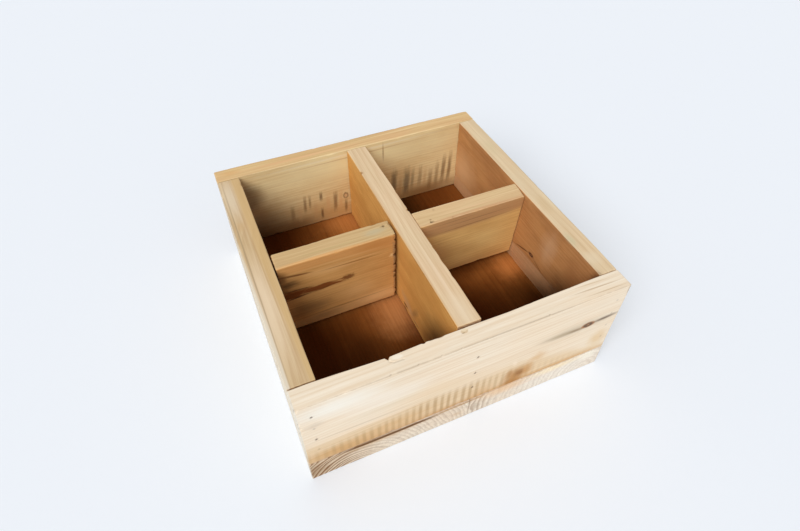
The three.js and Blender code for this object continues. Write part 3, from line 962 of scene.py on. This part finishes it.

# Back board: rim, inner face with a round mark and painted light and shade, outer face; saw bars go over
# them
BACK_STAINS = stains_on(Z, RIM, 3, [
    (-50, 116, 75, 2.6, (230, 182, 136), 0.55, 0.9, 0.5), (-112, 118, 14, 5, (214, 162, 104), 0.5, 0.9, 0.6),
    (60, 120, 60, 2.0, (232, 206, 158), 0.5, 0.9, 0.5),
]) + [
    stain((0, BACK, RIM), (150, 1.6, 1.6), (160, 140, 114), 0.6, 0.9, 0.5),
] + stains_on(Y, BACK_IN, 3, [
    # Painted light along the top of the inner face, painted shade along its foot
    (0, 28, 135, 34, (192, 139, 72), 0.62, 1.0, 0.3), (0, 86, 130, 26, (255, 241, 190), 0.75, 1.0, 0.3),
    (0, 95.6, 120, 1.6, (252, 238, 204), 0.6, 0.8, 0.4, -0.4),
    (0, 92.2, 120, 1.0, (200, 158, 106), 0.45, 0.8, 0.5, -0.4),
    # Painted shadow of the left wall at the left of the inner face, and painted shade low at both ends
    (29, 88, 1.3, 14, (156, 114, 70), 0.6, 0.9, 0.5), (-112, 20, 78, 66, (90, 54, 24), 0.92, 0.95, 0.3),
    (-106, 74, 22, 22, (92, 56, 26), 0.5, 0.6, 0.3), (-66, 26, 46, 16, (116, 74, 34), 0.7, 1.0, 0.4),
    (80, 26, 62, 16, (138, 90, 44), 0.75, 1.0, 0.4), (-11.5, 48.5, 3.4, 4.6, (112, 76, 44), 0.7, 0.4, 0.6),
    (-11.5, 48.2, 2.1, 2.9, (226, 190, 140), 0.85, 0.5, 0.4),
]) + stains_on(Y, BACK, 3, [
    (-20, 24, 120, 9, (176, 122, 64), 0.65, 1.0, 0.4), (58, 70, 48, 6, (178, 136, 88), 0.5, 1.0, 0.5),
    (-70, 90, 56, 7, (238, 214, 170), 0.5, 1.0, 0.5), (-20, 76, 70, 1.6, (166, 122, 74), 0.5, 0.9, 0.6, 1.5),
]) + stains_on(Y, BACK_IN, 3, [(*bar, 0.8, 0.7, 3, 1.0) for bar in BACK_BARS])

# Left board: pale end and rim, painted light on its outer side, long lines in the rim, outer face
LEFT_STAINS = [
    # Painted light on the outer side, which the soft light strikes from the left
    stain((LEFT, 0, 60), (0.7, 300, 120), (222, 214, 198), 0.6, 0.4, 0.3),
] + stains_on(Z, RIM, 3, [
    (-119, -42, 10, 74, (238, 216, 186), 0.6, 0.9, 0.5), (-119, 84, 9, 40, (228, 212, 186), 0.6, 0.9, 0.5),
    (-118, 46, 6, 9, (202, 164, 112), 0.3, 0.9, 0.8),
]) + [
    stain((LEFT, 60, RIM), (1.6, 110, 1.6), (150, 128, 100), 0.6, 0.9, 1.0),
    # More painted light on the outer side and the outer strip of the rim
    stain((LEFT, -112, 80), (3.6, 150, 100), (226, 216, 198), 0.85, 0.45, 0.4),
] + stains_on(Z, RIM, 3, [
    (-100, 0, 14, 300, (206, 170, 114), 0.6, 0.2, 0.2, 1.2),
    (-113.4, 0, 0.9, 150, (184, 144, 94), 0.45, 0.8, 0.5, 1.2),
]) + [
    stain((-121.9, 0, RIM), (0.8, 160, 2), (150, 128, 100), 0.55, 0.8, 0.8),
] + stains_on(X, LEFT, 3, [
    (-10, 24, 110, 9, (178, 130, 76), 0.65, 1.0, 0.4), (28, 56, 50, 6, (180, 140, 92), 0.5, 1.0, 0.5),
    (-60, 90, 48, 8, (228, 206, 168), 0.5, 1.0, 0.5), (-20, 68, 76, 1.8, (168, 130, 86), 0.5, 0.9, 0.6, 1.5),
])

# Right board: dark lines at the knot, painted shade on the inner face towards the front and foot, rim, outer
# face
RIGHT_STAINS = stains_on(X, RIGHT_IN, 3, [
    (-21, 47, 15, 1.1, (84, 48, 26), 0.8, 0.7, 0.5, -17),
    (-46, 46.5, 12, 0.9, (104, 64, 36), 0.6, 0.8, 0.5, 17),
]) + stains_on(X, RIGHT_IN, 4, [
    (-52, 74, 14, 28, (216, 174, 136), 0.55, 1.0, 0.6, 10),
    # Painted shade towards the front and the foot, where the front board shades the inner face
    (-104, 34, 64, 50, (60, 31, 10), 0.93, 0.65, 0.3), (-70, 25, 52, 17, (62, 33, 11), 0.75, 0.9, 0.3),
    (-104, 88, 34, 22, (150, 100, 60), 0.5, 1.0, 0.4), (-109, 88, 10, 24, (72, 40, 20), 0.75, 0.9, 0.4),
    (95, 52, 42, 36, (230, 184, 136), 0.72, 1.0, 0.5), (38, 78, 20, 14, (176, 122, 76), 0.4, 1.0, 0.5),
    (-84, 78, 13, 28, (166, 112, 68), 0.4, 1.0, 0.4),
]) + stains_on(Z, RIM, 3, [
    (112, -70, 5, 12, (198, 188, 152), 0.6, 0.9, 0.8), (116, -92, 10, 11, (228, 210, 180), 0.5, 0.9, 0.6),
    (117, -25, 6, 18, (206, 178, 136), 0.5, 0.9, 0.8), (117, 60, 8, 20, (208, 190, 150), 0.45, 0.9, 0.8),
]) + [
    stain((RIGHT, 0, RIM), (1.3, 150, 1.3), (168, 150, 122), 0.5, 0.9, 0.6),
] + stains_on(X, RIGHT, 3, [
    (10, 24, 110, 9, (190, 142, 86), 0.65, 1.0, 0.4), (-50, 68, 52, 6, (186, 150, 104), 0.5, 1.0, 0.5),
    (62, 88, 44, 7, (240, 222, 190), 0.5, 1.0, 0.5), (30, 58, 70, 1.8, (172, 136, 94), 0.5, 0.9, 0.6, -1.5),
])

# Long divider: grey marks round the knot, painted shade at its front end, rim
LONG_STAINS = stains_on(X, LONG_LEFT, 3, [
    (-30, 34, 20, 9, (206, 172, 130), 0.55, 0.9, 0.9, 24),
    # Painted shade at the front end of the left face, where the front board shades it
    (-44, 38, 5, 16, (150, 112, 74), 0.5, 0.9, 0.9, 30), (-105, 36, 60, 52, (62, 31, 8), 0.92, 0.62, 0.3),
    (-26, 24.5, 6, 1.6, (60, 40, 26), 0.8, 0.7, 0.6), (-58, 84, 56, 16, (206, 144, 74), 0.4, 1.0, 0.4),
    (-66, 36, 12, 11, (160, 106, 56), 0.4, 1.0, 0.5), (-47, 28, 9, 2.2, (118, 98, 78), 0.5, 0.9, 0.9),
]) + [
    stain((LONG_LEFT, 0, RIM), (1.9, 150, 2.5), (190, 146, 94), 0.6, 0.9, 0.5),
] + stains_on(Z, RIM, 3, [
    (2, -70, 2.2, 60, (238, 214, 184), 0.5, 0.9, 0.5), (2, -98, 10, 28, (232, 212, 182), 0.5, 0.95, 0.5),
    (-6.6, 72.9, 2.2, 2.6, (160, 112, 68), 0.7, 0.8, 0.6),
])

# Left cross divider: brown streaks, dark lines, the joint's edge, rim
LEFT_CROSS_STAINS = stains_on(Y, CROSS_FRONT, 3, [
    (-64, 84, 30, 6, (238, 190, 128), 0.55, 1.0, 0.5),
    (-57, 95, 62, 8, (222, 160, 96), 0.65, 0.5, 0.4, 2, 1.0),
    (-26, 95, 28, 9, (196, 128, 62), 0.4, 1.0, 0.4), (-57, 90.8, 54, 1.6, (232, 188, 122), 0.45, 0.9, 0.6),
    (-92, 88, 18, 1.6, (96, 46, 16), 0.8, 0.8, 0.9, 7),
    (-46, 83.9, 38, 0.9, (148, 92, 46), 0.6, 0.8, 0.8, 1.3),
    (-36, 85.8, 30, 1.0, (240, 190, 126), 0.5, 0.9, 1.0, 1.3),
    (-99, 79.5, 15, 5.5, (80, 58, 36), 0.65, 0.95, 0.8), (-103, 88, 7, 9, (120, 76, 40), 0.6, 0.9, 0.6),
    (-103, 73, 7, 5, (92, 56, 30), 0.5, 0.9, 0.6), (-97, 67.6, 21, 5.8, (124, 56, 12), 0.86, 0.6, 1.3),
    (-74, 67.2, 28, 4.2, (126, 62, 18), 0.9, 0.6, 1.5), (-51, 68.6, 7, 3.8, (112, 60, 22), 0.8, 0.6, 1.5),
    (-92, 63.2, 18, 1.1, (58, 28, 12), 0.75, 0.8, 0.9, -6),
    (-90, 71.4, 15, 0.9, (64, 30, 10), 0.7, 0.7, 1.2, 3),
    (-70, 64.6, 14, 0.9, (92, 46, 16), 0.6, 0.8, 1.4, -7),
    (-57, 30, 64, 6.5, (222, 176, 120), 0.5, 0.4, 0.4, -1.5, 1.0),
    (-26, 34, 32, 12, (246, 200, 138), 0.75, 1.0, 0.4),
    (-57, 36.5, 58, 0.8, (120, 82, 48), 0.45, 0.8, 0.6, -1.5),
    (-85, 46, 26, 12, (130, 100, 66), 0.5, 0.95, 0.6), (-44, 49, 24, 16, (248, 202, 140), 0.35, 1.0, 0.5),
    (-74, 31, 22, 7, (150, 108, 66), 0.4, 0.95, 0.5),
    (-13, 78, 3.2, 2.4, (244, 206, 146), 0.7, 0.8, 1.8, -40),
    (-10, 60, 2.2, 44, (158, 130, 98), 0.6, 0.6, 1.6, 0, 1.0),
    (-9.5, 78, 1.6, 16, (60, 44, 30), 0.6, 0.7, 2.2),
]) + stains_on(Z, RIM, 3, [
    (-24, -1, 14, 5, (192, 180, 148), 0.6, 0.9, 0.8), (-60, -4, 40, 1.4, (190, 168, 116), 0.45, 0.9, 0.6),
])

# Right cross divider: darker band with thin lines, painted shade and light on its front face, nail marks in
# the rim
RIGHT_CROSS_STAINS = [
    stain((60, -9.5, 92), (92, 3.5, 12.5), (194, 144, 102), 0.75, 0.45, 0.25, (0, -1, 0)),
    stain((66, -9.5, 90.5), (50, 3.5, 0.9), (150, 104, 68), 0.5, 0.9, 0.9, (0, -1, 0)),
    stain((44, -9.5, 94.5), (30, 3.5, 0.8), (152, 106, 70), 0.45, 0.9, 0.9, (0, -1, 0)),
    stain((60, -9, 85), (54, 3.5, 1.0), (146, 98, 60), 0.55, 0.9, 0.9, (0, -1, 0)),
    # Painted shade on the left part of the front face, and painted light on its right part
    stain((20, -6.5, 52), (32, 4, 44), (196, 140, 96), 0.6, 1.0, 0.4),
    stain((78, -6.5, 60), (24, 5, 24), (255, 224, 152), 0.35, 1.0, 0.4),
    stain((60, -5, 28), (60, 4, 16), (190, 138, 90), 0.5, 1.0, 0.4),
] + stains_on(Z, RIM, 3, [
    (23, -5, 1.6, 1.2, (120, 84, 56), 0.7, 0.8, 0.8), (41, -9, 1.6, 1.0, (128, 92, 60), 0.6, 0.8, 0.8),
    (60, -3.5, 44, 1.5, (228, 188, 148), 0.45, 0.9, 0.5),
])

# Left base board: dirt below the front board, greyed end, painted light on its left side
BASE_LEFT_STAINS = stains_on(Y, FRONT, 4, [
    (-70, 19.5, 60, 5, (200, 160, 112), 0.45, 0.95, 0.5),
    (-63, 21.1, 47, 2.3, (106, 68, 32), 0.92, 0.5, 0.25, 1, 1.0),
    (-8, 21.6, 26, 1.6, (170, 124, 68), 0.65, 0.6, 0.4, 0, 1.0),
    (-123, 10, 16, 16, (150, 118, 86), 0.55, 0.95, 0.5), (-8, 9, 6, 4, (206, 176, 140), 0.5, 0.9, 1.0),
]) + [
    # Painted light on the left side, which the soft light strikes from the left
    stain((LEFT, 0, 12), (0.8, 300, 60), (224, 218, 204), 0.7, 0.4, 0.3),
]

# Right base board: dirt at the seam, warm middle, pale end
BASE_RIGHT_STAINS = stains_on(Y, FRONT, 4, [
    (8, 10, 5, 9, (178, 158, 132), 0.45, 0.9, 0.8),
    (5, 21.6, 13, 1.6, (172, 128, 72), 0.65, 0.6, 0.4, 0, 1.0),
    (32, 20, 34, 11, (232, 186, 134), 0.6, 0.95, 0.5), (60, 15, 40, 2, (236, 208, 184), 0.4, 0.9, 0.6),
    (80, 20, 36, 6, (255, 230, 180), 0.5, 0.9, 0.5), (112, 18, 15, 9, (255, 250, 232), 0.5, 0.9, 0.4),
])

# What most boards have in common, and what the two base boards have
PINE = dict(
    slant=0.02, sawn=(206, 166, 110), stripe=(160, 118, 72), wear=0.35, shine=0.15, end_ring=0.5,
    end_shade=0.3, knots=[], strong_rings=None, ground=[], floor_light_and_shade=[],
)
BASE_PINE = dict(
    PINE, late=(150, 114, 82), ring=0.1, slant=0.01, waver=3, inner=(176, 112, 54), deep=(134, 78, 32),
    shine=0.04, edge=(150, 112, 72), wear=0.3, end_shade=0.0, floor_light_and_shade=FLOOR_PAINTED_LIGHT_AND_SHADE,
)

# The inner and deep tones colour the faces inside the tray with painted light and shade: darker where the
# walls shade them, lighter where the soft light falls; the base's are partly dirt as well
FINISHES = {
    "front_board": dict(
        PINE, early=(245, 233, 213), late=(218, 188, 148), blush=(243, 222, 194), ring=0.12, spacing=2.8,
        pith=(0, -70, 190), slant=0.03, waver=9, inner=(200, 146, 88), deep=(168, 112, 60),
        sawn=(230, 204, 166), stripe=(160, 124, 78), edge=(196, 176, 150), wear=0.5, end_shade=0.05,
        knots=[knot((97.2, FRONT, 67.2), (6.4, 9, 3.5), 7)], stains=FRONT_STAINS,
    ),
    "back_board": dict(
        PINE, early=(226, 196, 144), late=(190, 146, 92), blush=(228, 182, 136), ring=0.12, spacing=2.9,
        pith=(0, 160, 200), waver=9, inner=(250, 229, 176), deep=(230, 194, 134),
        sawn=(210, 172, 118), stripe=(158, 116, 72), edge=(222, 200, 162), stains=BACK_STAINS,
        knots=[
            knot((-11.5, BACK_IN, 48.5), (3.0, 4, 3.8), 1.5, 0.0), knot((62, BACK, 70), (6.5, 5, 4.4), 7),
            knot((-78, BACK, 84), (3.4, 5, 2.6), 4),
        ],
    ),
    "left_board": dict(
        PINE, early=(212, 187, 146), late=(188, 148, 98), blush=(220, 192, 156), ring=0.13, spacing=3.0,
        pith=(0, 70, 170), waver=8, inner=(132, 83, 45), deep=(100, 61, 32), edge=(222, 200, 164),
        stains=LEFT_STAINS,
        knots=[
            knot((-121, 52, RIM), (8, 11, 30), 3.5, 0.0), knot((LEFT, 34, 56), (5, 6.5, 4.4), 7),
            knot((LEFT, -76, 80), (5, 3.4, 2.6), 4),
        ],
    ),
    "right_board": dict(
        PINE, early=(230, 211, 177), late=(194, 158, 110), blush=(226, 196, 156), ring=0.12, spacing=2.8,
        pith=(0, -60, 180), waver=8, inner=(208, 153, 98), deep=(170, 116, 70),
        sawn=(212, 168, 126), stripe=(158, 118, 80), edge=(228, 210, 178), stains=RIGHT_STAINS,
        knots=[
            knot((RIGHT_IN, -34, 50.5), (6, 4.6, 2.4), 3, 0.95), knot((RIGHT, -58, 68), (5, 6, 4), 7),
            knot((RIGHT, 72, 46), (5, 3.6, 2.8), 4),
        ],
    ),
    "long_divider": dict(
        PINE, early=(231, 209, 173), late=(198, 158, 110), blush=(232, 200, 164), ring=0.14, spacing=2.6,
        pith=(0, -45, 180), waver=7, inner=(238, 181, 102), deep=(206, 145, 74), edge=(222, 190, 142),
        wear=0.4, knots=[knot((LONG_LEFT, -26, 29), (6, 4.6, 1.7), 4)], stains=LONG_STAINS,
    ),
    "left_cross_divider": dict(
        PINE, early=(217, 187, 139), late=(184, 140, 86), blush=(210, 182, 132), ring=0.14, spacing=2.7,
        pith=(0, 50, 170), waver=7, inner=(230, 178, 110), deep=(200, 146, 84), edge=(218, 188, 140),
        wear=0.4, stains=LEFT_CROSS_STAINS,
    ),
    "right_cross_divider": dict(
        PINE, early=(224, 197, 152), late=(190, 148, 96), blush=(226, 188, 146), ring=0.13, spacing=2.8,
        pith=(0, 55, 175), waver=7, inner=(250, 209, 136), deep=(230, 182, 112), edge=(228, 202, 160),
        wear=0.4, stains=RIGHT_CROSS_STAINS,
    ),
    "base_board_left": dict(
        BASE_PINE, early=(245, 234, 215), blush=(238, 214, 188), spacing=3.4, pith=(0, 90, -16),
        end_ring=0.12, strong_rings=((-118, FRONT, 10), (52, 9, 40), 0.85), stains=BASE_LEFT_STAINS,
        ground=[stain((-122, FRONT, 10), (62, 9, 40), (218, 196, 166), 0.85, 0.95, 0.5)],
    ),
    "base_board_right": dict(
        BASE_PINE, early=(244, 234, 217), blush=(240, 220, 196), spacing=5.0, pith=(0, -110, 0),
        end_ring=0.05, strong_rings=((9, FRONT, 8), (18, 9, 40), 0.35), stains=BASE_RIGHT_STAINS,
        ground=[stain((86, FRONT, 12), (72, 9, 30), (248, 241, 228), 0.75, 0.95, 0.4)],
    ),
}

KNOT_DARK = linear(70, 42, 28)
KNOT_RIM = linear(164, 112, 72)
PIT_DARK = linear(64, 44, 32)
NAIL_STEEL = linear(96, 88, 80)
NAIL_RUST = linear(82, 50, 32)
FLOOR_PALE = linear(236, 240, 246)

# How strongly each layer of a board's look shows, how rough the wood is, and how its grain stands out
DRIFT_SHARE = 0.22
BLUSH_SHARE = 0.45
DEEP_SHARE = 0.6
SAWN_SHARE = 0.85
FIBRE_SHARE = 0.26
STRIPE_SHARE = 0.55
PIT_SHARE = 0.75
WOOD_ROUGH = 0.66
FIBRE_ROUGH = 0.15
LATE_RELIEF = -0.3
FIBRE_RELIEF = 0.5
STRIPE_RELIEF = -0.6
RELIEF_STRENGTH = 0.3
WOOD_RELIEF = 0.2 * MM
NAIL_RELIEF = 0.1 * MM

# Bare steel, and what full rust adds to it
STEEL_ROUGH = 0.45
RUST_ROUGH = 0.35
STEEL_METALLIC = 0.85
RUST_METALLIC = -0.75

# Steps from one board's noise to the next
FIGURE_SEED = 3.7
STRIPE_SEED = 1.9
WEAR_SEED = 2.3


def new_finish(name):
    """An empty material. Returns it, its wiring and the shaded point in millimetres."""
    material = bpy.data.materials.new(name)
    material.use_nodes = True
    material.node_tree.nodes.clear()
    wire = Wiring(material.node_tree)
    place = wire.node("ShaderNodeTexCoord").outputs["Object"]
    return material, wire, wire.vector("SCALE", place, scale=1 / MM)


def finish_surface(wire, relief, relief_depth, **values):
    """Shader with the named values and a bump from the relief, joined to the material's output."""
    bump = wire.node("ShaderNodeBump")
    wire.feed(bump.inputs["Height"], relief)
    wire.feed(bump.inputs["Strength"], RELIEF_STRENGTH)
    wire.feed(bump.inputs["Distance"], relief_depth)
    shader = wire.node("ShaderNodeBsdfPrincipled")
    wire.feed(shader.inputs["Normal"], bump.outputs[0])
    for key, value in values.items():
        wire.feed(shader.inputs[key.replace("_", " ")], value)
    output = wire.node("ShaderNodeOutputMaterial")
    wire.feed(output.inputs["Surface"], shader.outputs[0])


def lay_stains(wire, point, colour, stains):
    """Lays soft patches over a colour, one after the other."""
    for mark in stains:
        mask = wire.group(
            PATCH, Point=point, Centre=mark["centre"], Reach=mark["reach"], Turn=mark["turn"],
            Softness=mark["softness"], Ragged=mark["ragged"], Square=mark["square"],
        )["Mask"]
        colour = wire.lay(colour, linear(*mark["tone"]), mask, mark["share"])
    return colour


def along_board(wire, point, grain):
    """The point, turned so that the board's grain runs along X."""
    if grain == X:
        return point
    turned = wire.node("ShaderNodeMapping")
    wire.feed(turned.inputs["Rotation"], (0, 0, -math.pi / 2))
    wire.feed(turned.inputs["Vector"], point)
    return turned.outputs[0]


def wood_finish(name, grain, seed):
    """Unfinished board: figure, inner tone of painted light and shade, rough-sawn zone, stains, knots, end
    grain, worn edges and pits, each laid over the last, with roughness and relief from the same figure."""
    look = FINISHES[name]
    keys = ("early", "late", "blush", "inner", "deep", "sawn", "stripe", "edge")
    tone = {key: linear(*look[key]) for key in keys}
    material, wire, point = new_finish("wood_" + name)
    along = along_board(wire, point, grain)

    bulge = 0.0
    eyes = []
    for eye in look["knots"]:
        seen = wire.group(KNOT, Point=point, Centre=eye["centre"], Reach=eye["reach"], Push=eye["push"])
        bulge = wire.math("ADD", seen["Bulge"], bulge)
        eyes.append((seen, eye["core"]))
    figure = wire.group(
        FIGURE, Point=along, Pith=look["pith"], Spacing=look["spacing"], Slant=look["slant"],
        Waver=look["waver"], Bulge=bulge, Seed=seed * FIGURE_SEED,
    )
    fibre = figure["Fibre"]
    late = figure["Late wood"]
    stripe = wire.group(STRIPES, Point=along, Pitch=SAW_PITCH / MM, Seed=seed * STRIPE_SEED)["Stripe"]
    stripe = wire.times(stripe, wire.attribute("saw_marks"))
    wear = wire.group(WEAR, Arris=wire.attribute("arris"), Point=point, Seed=seed * WEAR_SEED)["Wear"]

    outside = wire.lay(tone["early"], tone["late"], figure["Drift"], DRIFT_SHARE)
    outside = wire.lay(outside, tone["blush"], figure["Blotch"], BLUSH_SHARE)
    outside = lay_stains(wire, point, outside, look["ground"])
    # Inside faces: the inner tone of painted light and shade, and on the floor its painted light and shade
    inside = wire.lay(tone["inner"], tone["deep"], figure["Blotch"], DEEP_SHARE)
    inside = lay_stains(wire, point, inside, look["floor_light_and_shade"])
    colour = wire.mix(wire.attribute("inner_face"), outside, inside)
    colour = wire.lay(colour, tone["sawn"], wire.attribute("sawn"), SAWN_SHARE)
    end_grain = wire.attribute("end_grain")
    ring_share = wire.math("MULTIPLY_ADD", end_grain, look["end_ring"], look["ring"])
    if look["strong_rings"]:
        centre, reach, share = look["strong_rings"]
        near = wire.group(PATCH, Point=point, Centre=centre, Reach=reach, Softness=0.95, Ragged=0.3)["Mask"]
        ring_share = wire.math("MULTIPLY_ADD", near, share, ring_share)
    colour = wire.lay(colour, tone["late"], late, ring_share, "MULTIPLY")
    colour = wire.lay(colour, tone["late"], fibre, FIBRE_SHARE, "MULTIPLY")
    colour = lay_stains(wire, point, colour, look["stains"])
    colour = wire.lay(colour, tone["stripe"], stripe, STRIPE_SHARE)
    for seen, core in eyes:
        if core > 0:
            colour = wire.lay(colour, wire.mix(seen["Rings"], KNOT_DARK, KNOT_RIM), seen["Core"], core)
    colour = wire.lay(colour, tone["late"], end_grain, look["end_shade"], "MULTIPLY")
    colour = wire.lay(colour, tone["edge"], wear, look["wear"])
    colour = wire.lay(colour, PIT_DARK, wire.attribute("nail_pit"), PIT_SHARE)

    relief = wire.math("MULTIPLY_ADD", late, LATE_RELIEF, wire.times(fibre, FIBRE_RELIEF))
    relief = wire.math("MULTIPLY_ADD", stripe, STRIPE_RELIEF, relief)
    rough = wire.math("MULTIPLY_ADD", fibre, FIBRE_ROUGH, WOOD_ROUGH)
    finish_surface(
        wire, relief, WOOD_RELIEF, Base_Color=colour, Roughness=rough, Specular_IOR_Level=look["shine"]
    )
    return material


def nail_finish():
    """Dull steel with brown rust that gathers in patches and takes the shine away."""
    material, wire, point = new_finish("rusty_nail")
    rust = wire.ramp(wire.noise(point, seed=2.0, detail=4.0, roughness=0.6, scale=1.1), 0.4, 0.6)
    relief = wire.noise(point, seed=5.0, detail=4.0, roughness=0.6, scale=2.5)
    finish_surface(
        wire, relief, NAIL_RELIEF, Base_Color=wire.mix(rust, NAIL_STEEL, NAIL_RUST),
        Roughness=wire.math("MULTIPLY_ADD", rust, RUST_ROUGH, STEEL_ROUGH),
        Metallic=wire.math("MULTIPLY_ADD", rust, RUST_METALLIC, STEEL_METALLIC),
    )
    return material


for board, plan in BOARDS.items():
    made = make_board(board, **plan)
    made.data.materials.append(wood_finish(board, plan["grain"], plan["seed"]))

steel = nail_finish()
for number, (node, (head, axis, length)) in enumerate(nails.items()):
    nail_points, nail_faces = nail_surface(head, axis, length, number)
    nail = mesh_object("steel_" + node, nail_points, nail_faces, {})
    nail.data.materials.append(steel)
    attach(nail, BODY)
    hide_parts(node)


# Stage, light and camera

def pale_floor():
    """A plain pale floor, a hair below the tray's underside."""
    half = FLOOR_SIZE / 2
    corners = np.array([(-1, -1, 0), (1, -1, 0), (1, 1, 0), (-1, 1, 0)]) * half - (0, 0, FLOOR_GAP)
    floor = mesh_object("floor", corners, np.array([[0, 1, 2, 3]]), {})
    material = bpy.data.materials.new("pale_floor")
    material.use_nodes = True
    shader = material.node_tree.nodes["Principled BSDF"]
    shader.inputs["Base Color"].default_value = FLOOR_PALE
    shader.inputs["Roughness"].default_value = FLOOR_ROUGH
    shader.inputs["Specular IOR Level"].default_value = FLOOR_SHINE
    floor.data.materials.append(material)


def pale_room():
    """Even pale light from all around. Rays that see it straight, or by a reflection, meet the floor's
    paleness."""
    world = bpy.data.worlds.new("pale_room")
    world.use_nodes = True
    backdrop = world.node_tree.nodes["Background"]
    backdrop.inputs["Color"].default_value = ROOM_TINT
    wire = Wiring(world.node_tree)
    rays = wire.node("ShaderNodeLightPath").outputs
    seen = wire.math("MAXIMUM", rays["Is Camera Ray"], rays["Is Glossy Ray"])
    seen = wire.math("MAXIMUM", seen, rays["Is Transmission Ray"])
    wire.feed(backdrop.inputs["Strength"], wire.ramp(seen, 0.0, 1.0, ROOM_STRENGTH, BACKDROP_STRENGTH))
    bpy.context.scene.world = world


def soft_light():
    """One broad soft light from the front left, far enough away to be even over the floor."""
    lamp = bpy.data.lights.new("soft_light", "SUN")
    lamp.energy = SOFT_LIGHT_STRENGTH
    lamp.angle = SOFT_LIGHT_ANGLE
    holder = bpy.data.objects.new("soft_light", lamp)
    holder.rotation_mode = "QUATERNION"
    holder.rotation_quaternion = (-Vector(SOFT_LIGHT_FROM)).to_track_quat("-Z", "Y")
    bpy.context.scene.collection.objects.link(holder)


def photo_camera():
    """Camera at the solved place: it looks along yaw and pitch, and its right-hand side is rolled."""
    ahead = Vector((
        math.sin(CAMERA_YAW) * math.cos(CAMERA_PITCH),
        math.cos(CAMERA_YAW) * math.cos(CAMERA_PITCH),
        -math.sin(CAMERA_PITCH),
    ))
    level = Vector((math.cos(CAMERA_YAW), -math.sin(CAMERA_YAW), 0))
    upright = level.cross(ahead)
    right = level * math.cos(CAMERA_ROLL) + upright * math.sin(CAMERA_ROLL)
    up = upright * math.cos(CAMERA_ROLL) - level * math.sin(CAMERA_ROLL)
    lens = bpy.data.cameras.new("camera")
    lens.sensor_width = SENSOR_WIDTH
    lens.lens = FOCAL_PIXELS / IMAGE_WIDTH * SENSOR_WIDTH
    lens.clip_start = NEAR_CLIP
    camera = bpy.data.objects.new("camera", lens)
    facing = Matrix((right, up, -ahead)).transposed().to_4x4()
    camera.matrix_world = Matrix.Translation(CAMERA_PLACE) @ facing
    bpy.context.scene.collection.objects.link(camera)
    bpy.context.scene.camera = camera


pale_floor()
pale_room()
soft_light()
photo_camera()
bpy.context.scene.view_settings.view_transform = "Standard"
